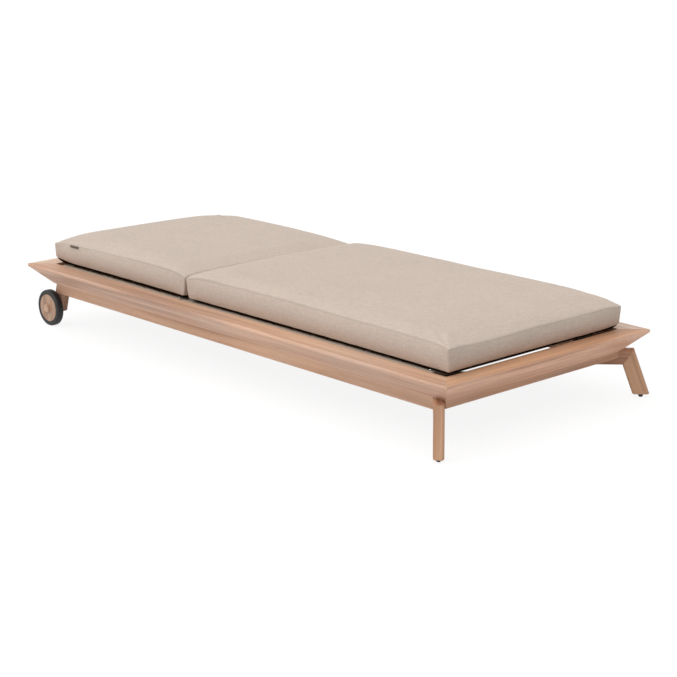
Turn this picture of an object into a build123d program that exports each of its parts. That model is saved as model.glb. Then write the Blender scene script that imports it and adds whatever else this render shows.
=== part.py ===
from build123d import *
from math import cos, pi, radians, sin, sqrt, tan
import os

# Sun lounger of teak: a mitred rim on beams, splayed foot legs, two wheels at the head,
# a fixed seat deck, a hinged back deck with a folding prop, and a two-part box cushion.
# Millimetres. +X is the foot end, +Z is up, the floor is Z = 0, the origin is mid plan.

# Overall sizes
length = 2000.0
width = 868.0
rim_height = 215.0

# Rim rails
rim_face = 68.0
rim_edge_band = 9.0
knee_inset = 63.0
knee_drop = 70.0
rim_outer_round = 1.8
rim_inner_round = 1.5

# Beams under the rim
beam_thickness = 30.0
side_beam_drop = 103.0
cross_beam_rise = 13.0
ledge_drop = 24.0
beam_round = 2.0

# Foot legs, each in the upright plane that crosses its corner at 45 degrees
leg_thickness = 31.0
leg_depth = 48.0
leg_setback = 19.0
leg_lean = 20.0
elbow_inset = 42.4
arm_top_drop = 65.0
leg_clear_of_floor = 10.0
leg_outer_round = 9.0
leg_inner_round = 5.0
leg_end_chamfer = 2.5
joint_gap = 0.3

# Glides under the foot legs
glide_radius = 8.5
glide_tip_radius = 5.5
glide_rim = 3.0
glide_stem_radius = 4.0
glide_stem_length = 14.0

# Corner braces and the bolts that hold the legs to them
brace_corner_distance = 175.0
brace_width = 56.0
arm_tail = 5.0
leg_bolt_radius = 4.0
leg_bolt_head_radius = 7.0
leg_bolt_head = 5.0
leg_bolt_spacing = 26.0
leg_bolt_embed = 30.0
bolt_fit = 0.25

# Head legs, lapped behind the side beams
head_leg_lean = 17.0
head_leg_face_setback = 5.0
head_leg_top_drop = 26.0
head_leg_below_axle = 17.0
lap_thickness = 12.0
lap_length = 24.0
head_bolt_radius = 3.0
head_bolt_head_radius = 5.5
head_bolt_head = 3.5
head_bolt_inset = 9.0
head_bolt_tip_cover = 5.0
head_bolt_from_tip = 15.5

# Wheels
tyre_radius = 62.5
tyre_width = 24.0
tyre_shoulder = 6.0
disc_radius = 47.5
disc_edge_round = 2.0
disc_counterbore_radius = 10.5
disc_counterbore = 4.5
bush_radius = 8.0
running_fit = 0.05
press_gap = 0.02
hub_cap_radius = 14.5
hub_cap_height = 9.0
hub_cap_round = 3.0

# Axles
axle_radius = 5.0
axle_head_radius = 8.5
axle_head = 5.0
axle_nut_radius = 8.5
axle_nut = 3.0
axle_nut_play = 0.5
spacer_length = 12.0
spacer_radius = 10.0
spacer_play = 0.3

# Decks: aluminium stiles and rails with teak slats let in flush
deck_drop = 2.0
stile_width = 28.0
stile_height = 20.0
stile_side_gap = 3.0
rebate_width = 12.0
slat_thickness = 10.0
slat_width = 60.0
slat_gap = 19.0
slat_round = 2.0
slat_end_gap = 0.5
deck_rail_width = 30.0
spine_width = 34.0
seat_deck_foot_gap = 60.0
back_deck_head_gap = 32.0
deck_split_from_head = 762.5
deck_split_gap = 10.0

# Cross bearers and pads that the decks lie on
bearer_width = 45.0
bearer_height = 30.0
bearer_count = 3
pad_length = 30.0
pad_width = 14.0
pad_clear = 0.3
back_pad_head_inset = 50.0
back_pad_foot_inset = 90.0

# Back hinge
hinge_pin_radius = 5.0
hinge_pin_in_rim = 24.0
hinge_pin_in_stile = 24.0

# Folding prop under the back deck
prop_pivot_drop = 36.0
prop_bar_beam_clear = 35.5
prop_arm_excess = 14.0
prop_arm_depth = 20.0
prop_arm_thickness = 5.0
prop_arm_beam_clear = 41.0
prop_bar_radius = 6.0
prop_bar_beam_gap = 9.0
prop_pin_radius = 4.0
prop_pin_head_radius = 7.0
prop_pin_head = 3.0
prop_pin_tail = 1.5
bracket_thickness = 3.0
bracket_length = 36.0
bracket_flange = 24.0
bracket_ear_radius = 12.0
side_play = 0.4

# Notched rails for the prop bar
notch_rail_thickness = 16.0
notch_rail_depth = 26.0
notch_rail_top_drop = 46.6
notch_rail_leg_gap = 17.0
notch_rail_pivot_gap = 5.0
notch_depth = 9.0
notch_count = 5
notch_floor = 12.0
notch_slope = 16.0
notch_round = 4.0
notch_end_margin = 25.0
notch_rail_tail = 43.0
rail_screw_radius = 2.5
rail_screw_head_radius = 4.5
rail_screw_head = 2.5
rail_screw_bite = 18.0
rail_screw_drop = 19.0

# Cushions: seam heights are above the rim
cushion_side_overhang = 1.0
cushion_foot_overlap = 8.0
cushion_head_overlap = 1.0
cushion_split_overlap = 28.25
cushion_split_gap = 1.5
cushion_lift = 16.0
cushion_deck_gap = 0.3
cushion_waist = 2.0
cushion_side_pull = 4.0
cushion_corner_pinch = 12.0
cushion_corner_run = 18.0
cushion_side_round = 80.0
cushion_end_round = 50.0
cushion_under_round = 46.0
cushion_seam_run = 120.0
cushion_least_crown = 2.0
seat_seam = 85.0
seat_seam_at_foot = 72.0
seat_seam_at_split = 80.0
seat_crown = 18.0
back_seam = 81.0
back_seam_at_head = 77.0
back_seam_at_split = 79.0
back_crown = 16.0
# Shares of the seam run, from an end inwards, where a cushion's cross-sections stand
station_shares = (0, 0.03, 0.08, 0.17, 0.32, 0.6, 1)
# Shares of a rounding's run and rise at which its tight arc meets its wide one
turn_in_share = 0.3
turn_up_share = 0.7

# One overrun for every cut that passes through
overrun = 5.0

# Places worked out from the sizes above
half_length = length / 2
half_width = width / 2
root_two = sqrt(2)
rim_inner_x = half_length - rim_face
rim_inner_y = half_width - rim_face
knee_x = half_length - knee_inset
knee_y = half_width - knee_inset
knee_z = rim_height - knee_drop
beam_inner_x = knee_x - beam_thickness
beam_inner_y = knee_y - beam_thickness
beam_inner_inset = knee_inset + beam_thickness
ledge_top = rim_height - ledge_drop
side_beam_bottom = rim_height - side_beam_drop
cross_beam_bottom = side_beam_bottom + cross_beam_rise
deck_top = rim_height - deck_drop
deck_bottom = deck_top - stile_height
slat_bottom = deck_top - slat_thickness

# Directions and corners of the near foot leg
outward = Vector(1, -1, 0).normalized()
across = Vector(1, 1, 0).normalized()
upward = Vector(0, 0, 1)
arm_top = rim_height - arm_top_drop
arm_bottom = arm_top - leg_depth
leg_line = Vector(half_length, -half_width, 0) - across * leg_setback
post_direction = outward * sin(radians(leg_lean)) - upward * cos(radians(leg_lean))
elbow_slant = leg_depth / tan((pi / 2 + radians(leg_lean)) / 2)
elbow_outer = leg_line - outward * elbow_inset + upward * arm_top
elbow_inner = elbow_outer - outward * elbow_slant - upward * leg_depth
elbow_middle = (elbow_outer + elbow_inner) * 0.5
mitre_normal = (outward + post_direction).normalized()
brace_outer_edge = brace_corner_distance
brace_inner_edge = brace_corner_distance + brace_width
arm_start = leg_line - outward * (brace_inner_edge + arm_tail) + upward * (arm_top - leg_depth / 2)
arm_length = brace_inner_edge + arm_tail - elbow_inset
post_run = (elbow_middle.Z - leg_clear_of_floor) / cos(radians(leg_lean))
foot_point = elbow_middle + post_direction * post_run
leg_bolt_middle = brace_corner_distance + brace_width / 2

# The splayed leg reaches as far past the foot corner as the wheel does past the head
foot_half_run = leg_depth / 2 / cos(radians(leg_lean))
leg_reach = foot_point.X + (foot_half_run + leg_thickness / 2) / root_two
leg_reach = leg_reach - leg_outer_round * (root_two - 1)
axle_x = tyre_radius - leg_reach
axle_z = tyre_radius

# Head legs and wheels, near side
head_leg_outer_y = -knee_y + head_leg_face_setback
head_leg_inner_y = head_leg_outer_y + leg_thickness
head_leg_direction = Vector(-sin(radians(head_leg_lean)), 0, -cos(radians(head_leg_lean)))
head_leg_half_run = leg_depth / 2 / cos(radians(head_leg_lean))
head_leg_top = rim_height - head_leg_top_drop
head_leg_bottom = axle_z - head_leg_below_axle
wheel_inner_y = head_leg_outer_y - spacer_length
wheel_outer_y = wheel_inner_y - tyre_width
wheel_axis = Axis((axle_x, 0, axle_z), (0, 1, 0))
lap_inner_y = -knee_y + lap_thickness
lap_middle_z = (knee_z + side_beam_bottom) / 2


def head_leg_face_x(z):
    """Where the foot-facing side of a head leg stands at height z."""
    centre = axle_x + (z - axle_z) * tan(radians(head_leg_lean))
    return centre + head_leg_half_run


# Decks and back hinge
stile_outer_y = rim_inner_y - stile_side_gap
stile_inner_y = stile_outer_y - stile_width
slat_half_length = stile_inner_y + rebate_width - slat_end_gap
seat_deck_foot_x = rim_inner_x - seat_deck_foot_gap
seat_deck_head_x = -half_length + deck_split_from_head
back_deck_foot_x = seat_deck_head_x - deck_split_gap
back_deck_head_x = -rim_inner_x + back_deck_head_gap
hinge_x = back_deck_foot_x - stile_height / 2
hinge_z = deck_top - stile_height / 2
back_rail_foot_x = hinge_x + stile_height / 4
bearer_pitch = (seat_deck_foot_x - seat_deck_head_x) / bearer_count
first_bearer_x = seat_deck_head_x + bearer_width / 2

# Prop at rest, folded flat towards the head
prop_bar_x = -beam_inner_x + prop_bar_beam_clear
prop_arm_length = (hinge_x - prop_bar_x + prop_arm_excess) / 2
prop_pivot_x = prop_bar_x + prop_arm_length
prop_z = rim_height - prop_pivot_drop
prop_bar_half_length = beam_inner_y - prop_bar_beam_gap
prop_arm_half_spacing = beam_inner_y - prop_arm_beam_clear
prop_outer_y = -prop_arm_half_spacing - prop_arm_thickness / 2
prop_inner_y = -prop_arm_half_spacing + prop_arm_thickness / 2
bracket_inner_y = prop_outer_y - side_play
bracket_outer_y = bracket_inner_y - bracket_thickness
notch_rail_top = rim_height - notch_rail_top_drop
notch_rail_foot_x = prop_pivot_x - notch_rail_pivot_gap
notch_rail_head_x = head_leg_face_x(notch_rail_top) + notch_rail_leg_gap
first_stop_x = notch_rail_foot_x - notch_end_margin - notch_floor / 2
last_stop_x = notch_rail_head_x + notch_rail_tail
notch_pitch = (first_stop_x - last_stop_x) / (notch_count - 1)

os.makedirs("parts", exist_ok=True)


def save(builder, label):
    builder.part.label = label
    export_step(builder.part, "parts/" + label + ".step")


def save_pair(builder, label):
    """Write the near piece, and the far one as its mirror image."""
    save(builder, label + "_near")
    with BuildPart() as far_side:
        mirror(builder.part, about=Plane.XZ)
    save(far_side, label + "_far")


def rim_profile(outer_edge):
    """Wedge section of a rim rail: flat top, thin edge band, undercut face to the knee."""
    with BuildLine() as outline:
        Polyline(
            (outer_edge, rim_height),
            (outer_edge + rim_face, rim_height),
            (outer_edge + rim_face, knee_z),
            (outer_edge + knee_inset, knee_z),
            (outer_edge, rim_height - rim_edge_band),
            close=True,
        )
    make_face(outline.edges())


def round_rim_profile(profile):
    inner_corner = profile.vertices().group_by(Axis.Y)[-1].sort_by(Axis.X)[-1]
    fillet(inner_corner, radius=rim_inner_round)
    band_corners = profile.vertices().group_by(Axis.X)[0]
    fillet(band_corners, radius=rim_outer_round)


def leg_section():
    Rectangle(leg_thickness, leg_depth)


def round_leg_section(section, outer_group, inner_group):
    fillet(section.vertices().group_by(Axis.Y)[outer_group], radius=leg_outer_round)
    fillet(section.vertices().group_by(Axis.Y)[inner_group], radius=leg_inner_round)


def bolt_places():
    """Plan positions of the two bolts through a corner brace, near side."""
    near_one = leg_line - outward * (leg_bolt_middle - leg_bolt_spacing / 2)
    far_one = leg_line - outward * (leg_bolt_middle + leg_bolt_spacing / 2)
    return [(near_one.X, near_one.Y), (far_one.X, far_one.Y)]


# Housing for the leg arm, cut from whatever it is let into
arm_plane = Plane(origin=arm_start, x_dir=across, z_dir=outward)
with BuildPart(mode=Mode.PRIVATE) as arm_housing:
    with BuildSketch(arm_plane.offset(-overrun)):
        Rectangle(leg_thickness + 2 * joint_gap, leg_depth + 2 * joint_gap)
    extrude(amount=arm_length + overrun)

# Rim: two long rails and two short ones, mitred at the corners
foot_mitre = Plane(origin=(half_length, -half_width, 0), z_dir=(1, 1, 0))
head_mitre = Plane(origin=(-half_length, -half_width, 0), z_dir=(-1, 1, 0))

with BuildPart() as rim_rail_side:
    with BuildSketch(Plane.YZ) as side_rail_profile:
        rim_profile(-half_width)
        round_rim_profile(side_rail_profile)
    extrude(amount=half_length, both=True)
    split(bisect_by=foot_mitre, keep=Keep.BOTTOM)
    split(bisect_by=head_mitre, keep=Keep.BOTTOM)
    add(arm_housing.part, mode=Mode.SUBTRACT)
    with BuildSketch(Plane.XZ.offset(rim_inner_y)):
        with Locations((hinge_x, hinge_z)):
            Circle(hinge_pin_radius + press_gap)
    extrude(amount=hinge_pin_in_rim, mode=Mode.SUBTRACT)
save_pair(rim_rail_side, "rim_rail")

foot_plane = Plane(origin=(0, 0, 0), x_dir=(-1, 0, 0), z_dir=(0, 1, 0))
with BuildPart() as rim_rail_foot:
    with BuildSketch(foot_plane) as foot_rail_profile:
        rim_profile(-half_length)
        round_rim_profile(foot_rail_profile)
    extrude(amount=half_width, both=True)
    split(bisect_by=foot_mitre, keep=Keep.TOP)
    split(bisect_by=Plane(origin=(half_length, half_width, 0), z_dir=(1, -1, 0)), keep=Keep.TOP)
save(rim_rail_foot, "rim_rail_foot")

with BuildPart() as rim_rail_head:
    mirror(rim_rail_foot.part, about=Plane.YZ)
save(rim_rail_head, "rim_rail_head")

# Side beams: they stop at the leg arms, and lap over the head legs with a tongue
lap_head_x = head_leg_face_x(lap_middle_z) - lap_length
arm_side = Plane(origin=leg_line - across * (leg_thickness / 2 + joint_gap), z_dir=across)
with BuildPart() as side_beam:
    with BuildSketch(Plane.YZ.offset(lap_head_x)) as side_beam_profile:
        with BuildLine():
            Polyline(
                (-knee_y, knee_z),
                (-rim_inner_y, knee_z),
                (-rim_inner_y, ledge_top),
                (-beam_inner_y, ledge_top),
                (-beam_inner_y, side_beam_bottom),
                (-knee_y, side_beam_bottom),
                close=True,
            )
        make_face()
        fillet(side_beam_profile.vertices().group_by(Axis.Y)[0], radius=beam_round)
    extrude(amount=length)
    split(bisect_by=arm_side, keep=Keep.BOTTOM)
    with BuildSketch(Plane.XZ.offset(-lap_inner_y)):
        with BuildLine():
            Polyline(
                (lap_head_x - overrun, side_beam_bottom - overrun),
                (head_leg_face_x(side_beam_bottom - overrun) + joint_gap, side_beam_bottom - overrun),
                (head_leg_face_x(ledge_top + overrun) + joint_gap, ledge_top + overrun),
                (lap_head_x - overrun, ledge_top + overrun),
                close=True,
            )
        make_face()
    extrude(amount=-beam_thickness, mode=Mode.SUBTRACT)
    with BuildSketch(Plane.XZ.offset(knee_y + overrun)):
        with BuildLine():
            Polyline(
                (lap_head_x - overrun, knee_z),
                (head_leg_face_x(knee_z) + joint_gap, knee_z),
                (head_leg_face_x(ledge_top + overrun) + joint_gap, ledge_top + overrun),
                (lap_head_x - overrun, ledge_top + overrun),
                close=True,
            )
        make_face()
    extrude(amount=-(beam_thickness + overrun), mode=Mode.SUBTRACT)
    with BuildSketch(Plane.XZ.offset(knee_y - head_bolt_tip_cover)):
        with Locations(
            (lap_head_x + head_bolt_from_tip, side_beam_bottom + head_bolt_inset),
            (lap_head_x + head_bolt_from_tip, knee_z - head_bolt_inset),
        ):
            Circle(head_bolt_radius + bolt_fit)
    extrude(amount=-beam_thickness, mode=Mode.SUBTRACT)
    with BuildSketch(Plane.XZ.offset(beam_inner_y)):
        with Locations(
            (notch_rail_head_x + notch_end_margin / 2, notch_rail_top - rail_screw_drop),
            (notch_rail_foot_x - notch_end_margin / 2, notch_rail_top - rail_screw_drop),
        ):
            Circle(rail_screw_radius + bolt_fit)
    extrude(amount=rail_screw_bite, mode=Mode.SUBTRACT)
save_pair(side_beam, "side_beam")


def end_beam(upper_half, lower_half):
    """One beam across an end, drawn at the foot; its upper part fits between the rails."""
    with BuildPart(mode=Mode.PRIVATE) as beam:
        with BuildSketch(Plane.XZ):
            with BuildLine():
                Polyline(
                    (beam_inner_x, knee_z),
                    (rim_inner_x, knee_z),
                    (rim_inner_x, ledge_top),
                    (beam_inner_x, ledge_top),
                    close=True,
                )
            make_face()
        extrude(amount=upper_half, both=True)
        with BuildSketch(Plane.XZ) as lower_profile:
            with BuildLine():
                Polyline(
                    (beam_inner_x, cross_beam_bottom),
                    (knee_x, cross_beam_bottom),
                    (knee_x, knee_z),
                    (beam_inner_x, knee_z),
                    close=True,
                )
            make_face()
            fillet(lower_profile.vertices().group_by(Axis.Y)[0], radius=beam_round)
        extrude(amount=lower_half, both=True)
    return beam.part


whole_foot_beam = end_beam(rim_inner_y, knee_y)
whole_head_beam = end_beam(-head_leg_inner_y - joint_gap, -head_leg_inner_y - joint_gap)

with BuildPart() as foot_beam:
    add(whole_foot_beam)
    add(arm_housing.part, mode=Mode.SUBTRACT)
    mirror(arm_housing.part, about=Plane.XZ, mode=Mode.SUBTRACT)
save(foot_beam, "foot_beam")

with BuildPart() as head_beam:
    mirror(whole_head_beam, about=Plane.YZ)
save(head_beam, "head_beam")

# Foot leg arm: out under the corner brace, through the beams, to the elbow mitre
with BuildPart() as foot_leg_arm:
    with BuildSketch(arm_plane) as arm_section:
        leg_section()
        round_leg_section(arm_section, -1, 0)
    extrude(amount=arm_length + elbow_slant)
    split(bisect_by=Plane(origin=elbow_middle, z_dir=mitre_normal), keep=Keep.BOTTOM)
    with BuildSketch(Plane.XY.offset(arm_bottom - overrun)):
        with Locations(*bolt_places()):
            Circle(leg_bolt_radius + bolt_fit)
    extrude(amount=leg_depth + 2 * overrun, mode=Mode.SUBTRACT)
save_pair(foot_leg_arm, "foot_leg_arm")

# Foot leg post: from the elbow mitre down to its glide, leaning outward
post_start = elbow_middle - post_direction * leg_depth
with BuildPart() as foot_leg_post:
    with BuildSketch(Plane(origin=post_start, x_dir=across, z_dir=post_direction)) as post_section:
        leg_section()
        round_leg_section(post_section, -1, 0)
    extrude(amount=2 * leg_depth + post_run)
    split(bisect_by=Plane(origin=elbow_middle, z_dir=mitre_normal), keep=Keep.TOP)
    split(bisect_by=Plane.XY.offset(leg_clear_of_floor), keep=Keep.TOP)
    chamfer(foot_leg_post.faces().sort_by(Axis.Z)[0].edges(), length=leg_end_chamfer)
    with BuildSketch(Plane.XY.offset(leg_clear_of_floor)):
        with Locations((foot_point.X, foot_point.Y)):
            Circle(glide_stem_radius + press_gap)
    extrude(amount=glide_stem_length, mode=Mode.SUBTRACT)
save_pair(foot_leg_post, "foot_leg_post")

with BuildPart() as foot_glides:
    with BuildSketch(Plane(origin=(foot_point.X, foot_point.Y, 0), x_dir=(1, 0, 0), z_dir=(0, -1, 0))):
        with BuildLine():
            Polyline(
                (0, 0),
                (glide_tip_radius, 0),
                (glide_radius, leg_clear_of_floor - glide_rim),
                (glide_radius, leg_clear_of_floor),
                (glide_stem_radius, leg_clear_of_floor),
                (glide_stem_radius, leg_clear_of_floor + glide_stem_length),
                (0, leg_clear_of_floor + glide_stem_length),
                close=True,
            )
        make_face()
    revolve(axis=Axis((foot_point.X, foot_point.Y, 0), (0, 0, 1)))
    mirror(about=Plane.XZ)
save(foot_glides, "foot_glides")

# Corner braces, cut to fit between the foot beam and the side beam
with BuildPart() as foot_brace:
    with BuildSketch(Plane.XY.offset(arm_top)):
        with BuildLine():
            Polyline(
                (half_length + beam_inner_inset - root_two * brace_outer_edge, -beam_inner_y),
                (half_length + beam_inner_inset - root_two * brace_inner_edge, -beam_inner_y),
                (beam_inner_x, -half_width - beam_inner_inset + root_two * brace_inner_edge),
                (beam_inner_x, -half_width - beam_inner_inset + root_two * brace_outer_edge),
                close=True,
            )
        make_face()
    extrude(amount=ledge_top - arm_top)
    with BuildSketch(Plane.XY.offset(arm_top)):
        with Locations(*bolt_places()):
            Circle(leg_bolt_radius + bolt_fit)
    extrude(amount=leg_bolt_embed, mode=Mode.SUBTRACT)
save_pair(foot_brace, "foot_brace")

with BuildPart() as leg_bolts:
    with BuildSketch(Plane.XY.offset(arm_bottom - leg_bolt_head)):
        with Locations(*bolt_places()):
            RegularPolygon(radius=leg_bolt_head_radius, side_count=6)
    extrude(amount=leg_bolt_head)
    with BuildSketch(Plane.XY.offset(arm_bottom)):
        with Locations(*bolt_places()):
            Circle(leg_bolt_radius)
    extrude(amount=leg_depth + leg_bolt_embed)
    mirror(about=Plane.XZ)
save(leg_bolts, "leg_bolts")

# Head legs: short leaning boards with a pocket for the beam's tongue and a bore for the axle
head_leg_middle_y = (head_leg_outer_y + head_leg_inner_y) / 2
axle_point = Vector(axle_x, head_leg_middle_y, axle_z)
head_leg_start = axle_point - head_leg_direction * rim_height
with BuildPart() as head_leg:
    with BuildSketch(Plane(origin=head_leg_start, x_dir=(0, 1, 0), z_dir=head_leg_direction)) as section:
        leg_section()
        round_leg_section(section, 0, -1)
    extrude(amount=2 * rim_height)
    split(bisect_by=Plane.XY.offset(head_leg_top), keep=Keep.BOTTOM)
    split(bisect_by=Plane.XY.offset(head_leg_bottom), keep=Keep.TOP)
    chamfer(head_leg.faces().sort_by(Axis.Z)[0].edges(), length=leg_end_chamfer)
    with BuildSketch(Plane.XZ.offset(knee_y)):
        with BuildLine():
            Polyline(
                (lap_head_x - joint_gap, side_beam_bottom - joint_gap),
                (lap_head_x + leg_depth, side_beam_bottom - joint_gap),
                (lap_head_x + leg_depth, knee_z),
                (lap_head_x - joint_gap, knee_z),
                close=True,
            )
        make_face()
    extrude(amount=-(lap_thickness + joint_gap), mode=Mode.SUBTRACT)
    with BuildSketch(Plane.XZ.offset(knee_y)):
        with BuildLine():
            Polyline(
                (-rim_inner_x + joint_gap, knee_z - joint_gap),
                (-rim_inner_x + joint_gap, ledge_top),
                (-half_length, ledge_top),
                (-half_length, knee_z - joint_gap),
                close=True,
            )
        make_face()
    extrude(amount=-(leg_thickness + beam_thickness), mode=Mode.SUBTRACT)
    with BuildSketch(Plane.XZ.offset(-head_leg_inner_y - overrun)):
        with Locations((axle_x, axle_z)):
            Circle(axle_radius + press_gap)
        with Locations(
            (lap_head_x + head_bolt_from_tip, side_beam_bottom + head_bolt_inset),
            (lap_head_x + head_bolt_from_tip, knee_z - head_bolt_inset),
        ):
            Circle(head_bolt_radius + bolt_fit)
    extrude(amount=leg_thickness + 2 * overrun, mode=Mode.SUBTRACT)
save_pair(head_leg, "head_leg")

with BuildPart() as head_leg_bolts:
    with BuildSketch(Plane.XZ.offset(-head_leg_inner_y)):
        with Locations(
            (lap_head_x + head_bolt_from_tip, side_beam_bottom + head_bolt_inset),
            (lap_head_x + head_bolt_from_tip, knee_z - head_bolt_inset),
        ):
            Circle(head_bolt_radius)
    extrude(amount=head_leg_inner_y + knee_y - head_bolt_tip_cover)
    with BuildSketch(Plane.XZ.offset(-head_leg_inner_y)):
        with Locations(
            (lap_head_x + head_bolt_from_tip, side_beam_bottom + head_bolt_inset),
            (lap_head_x + head_bolt_from_tip, knee_z - head_bolt_inset),
        ):
            Circle(head_bolt_head_radius)
    extrude(amount=-head_bolt_head)
    mirror(about=Plane.XZ)
save(head_leg_bolts, "head_leg_bolts")

# Wheels: a teak disc on a bush, a rubber tyre, and a turned cap over the axle's end.
# Wheel profiles are drawn with local X across the wheel from its outer face, local Y radial.
wheel_plane = Plane(origin=(axle_x, wheel_outer_y, axle_z), x_dir=(0, 1, 0), z_dir=(1, 0, 0))

with BuildPart() as wheel_disc:
    with BuildSketch(wheel_plane) as disc_profile:
        with BuildLine():
            Polyline(
                (0, disc_counterbore_radius),
                (0, disc_radius),
                (tyre_width, disc_radius),
                (tyre_width, bush_radius),
                (disc_counterbore, bush_radius),
                (disc_counterbore, disc_counterbore_radius),
                close=True,
            )
        make_face()
        fillet(disc_profile.vertices().group_by(Axis.Y)[-1], radius=disc_edge_round)
    revolve(axis=wheel_axis)
save_pair(wheel_disc, "wheel_disc")

with BuildPart() as tyre:
    with BuildSketch(wheel_plane) as tyre_profile:
        with BuildLine():
            Polyline(
                (0, disc_radius),
                (0, tyre_radius),
                (tyre_width, tyre_radius),
                (tyre_width, disc_radius),
                close=True,
            )
        make_face()
        fillet(tyre_profile.vertices().group_by(Axis.Y)[-1], radius=tyre_shoulder)
    revolve(axis=wheel_axis)
save_pair(tyre, "tyre")

with BuildPart() as wheel_bush:
    with BuildSketch(wheel_plane.offset(0)):
        with BuildLine():
            Polyline(
                (disc_counterbore, axle_radius + running_fit),
                (disc_counterbore, bush_radius),
                (tyre_width, bush_radius),
                (tyre_width, axle_radius + running_fit),
                close=True,
            )
        make_face()
    revolve(axis=wheel_axis)
save_pair(wheel_bush, "wheel_bush")

with BuildPart() as hub_cap:
    with BuildSketch(wheel_plane) as cap_profile:
        with BuildLine():
            Polyline(
                (0, 0),
                (0, hub_cap_radius),
                (-hub_cap_height, hub_cap_radius),
                (-hub_cap_height, 0),
                close=True,
            )
        make_face()
        cap_corner = cap_profile.vertices().group_by(Axis.Y)[-1].sort_by(Axis.X)[0]
        fillet(cap_corner, radius=hub_cap_round)
    revolve(axis=wheel_axis)
save_pair(hub_cap, "hub_cap")

# Axle bolts with their nuts and the spacers that hold the wheels off the legs
nut_inner_y = wheel_outer_y + disc_counterbore - axle_nut_play
axle_shank = head_leg_inner_y - nut_inner_y + axle_nut
with BuildPart() as axle_bolts:
    with BuildSketch(Plane.XZ.offset(-head_leg_inner_y)):
        with Locations((axle_x, axle_z)):
            Circle(axle_radius)
    extrude(amount=axle_shank)
    with BuildSketch(Plane.XZ.offset(-head_leg_inner_y)):
        with Locations((axle_x, axle_z)):
            RegularPolygon(radius=axle_head_radius, side_count=6)
    extrude(amount=-axle_head)
    mirror(about=Plane.XZ)
save(axle_bolts, "axle_bolts")

with BuildPart() as axle_nuts:
    with BuildSketch(Plane.XZ.offset(-nut_inner_y)):
        with Locations((axle_x, axle_z)):
            RegularPolygon(radius=axle_nut_radius, side_count=6)
            Circle(axle_radius + press_gap, mode=Mode.SUBTRACT)
    extrude(amount=axle_nut)
    mirror(about=Plane.XZ)
save(axle_nuts, "axle_nuts")

with BuildPart() as wheel_spacers:
    with BuildSketch(Plane.XZ.offset(-head_leg_outer_y)):
        with Locations((axle_x, axle_z)):
            Circle(spacer_radius)
            Circle(axle_radius + press_gap, mode=Mode.SUBTRACT)
    extrude(amount=spacer_length - spacer_play)
    mirror(about=Plane.XZ)
save(wheel_spacers, "wheel_spacers")


def stile_profile():
    """Deck stile with a rebate along its inner top edge for the slat ends, near side."""
    with BuildLine() as outline:
        Polyline(
            (-stile_outer_y, deck_bottom),
            (-stile_inner_y, deck_bottom),
            (-stile_inner_y, slat_bottom),
            (-stile_inner_y - rebate_width, slat_bottom),
            (-stile_inner_y - rebate_width, deck_top),
            (-stile_outer_y, deck_top),
            close=True,
        )
    make_face(outline.edges())


def cross_rail(from_x, to_x, half_run, bottom, top):
    """Square-edged bar across the deck."""
    with BuildPart(mode=Mode.PRIVATE) as bar:
        with BuildSketch(Plane.XY.offset(bottom)):
            with Locations(((from_x + to_x) / 2, 0)):
                Rectangle(abs(to_x - from_x), 2 * half_run)
        extrude(amount=top - bottom)
    return bar


def slat_row(from_x, to_x):
    """Even row of slats between two deck rails, as separate solids."""
    run = to_x - from_x
    count = int((run - slat_gap) // (slat_width + slat_gap))
    clear = (run - count * slat_width) / (count + 1)
    with BuildPart(mode=Mode.PRIVATE) as row:
        with BuildSketch(Plane.XY.offset(slat_bottom)):
            with Locations(((from_x + to_x) / 2, 0)):
                with GridLocations(slat_width + clear, 1, count, 1):
                    Rectangle(slat_width, 2 * slat_half_length)
        extrude(amount=slat_thickness)
        top_edges = row.edges().filter_by(Axis.Y).group_by(Axis.Z)[-1]
        fillet(top_edges, radius=slat_round)
    return row


# Seat deck, fixed on its pads
with BuildPart() as seat_stile:
    with BuildSketch(Plane.YZ.offset(seat_deck_head_x)):
        stile_profile()
    extrude(amount=seat_deck_foot_x - seat_deck_head_x)
save_pair(seat_stile, "seat_stile")

seat_slats_head_x = seat_deck_head_x + deck_rail_width
seat_slats_foot_x = seat_deck_foot_x - deck_rail_width
save(
    cross_rail(seat_deck_head_x, seat_slats_head_x, stile_inner_y, deck_bottom, deck_top),
    "seat_rail_head",
)
save(
    cross_rail(seat_slats_foot_x, seat_deck_foot_x, stile_inner_y, deck_bottom, deck_top),
    "seat_rail_foot",
)
save(
    cross_rail(seat_slats_head_x, seat_slats_foot_x, spine_width / 2, deck_bottom, slat_bottom),
    "seat_spine",
)
save(slat_row(seat_slats_head_x, seat_slats_foot_x), "seat_slats")

# Back deck: its stiles end in a round about the hinge pins
with BuildPart() as back_stile:
    with BuildSketch(Plane.YZ.offset(back_deck_head_x)):
        stile_profile()
    extrude(amount=hinge_x - back_deck_head_x)
    with BuildSketch(Plane.XZ.offset(stile_inner_y)):
        with Locations((hinge_x, hinge_z)):
            Circle(stile_height / 2)
    extrude(amount=stile_width)
    with BuildSketch(Plane.XZ.offset(stile_outer_y - hinge_pin_in_stile)):
        with Locations((hinge_x, hinge_z)):
            Circle(hinge_pin_radius + running_fit)
    extrude(amount=hinge_pin_in_stile + overrun, mode=Mode.SUBTRACT)
save_pair(back_stile, "back_stile")

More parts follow.
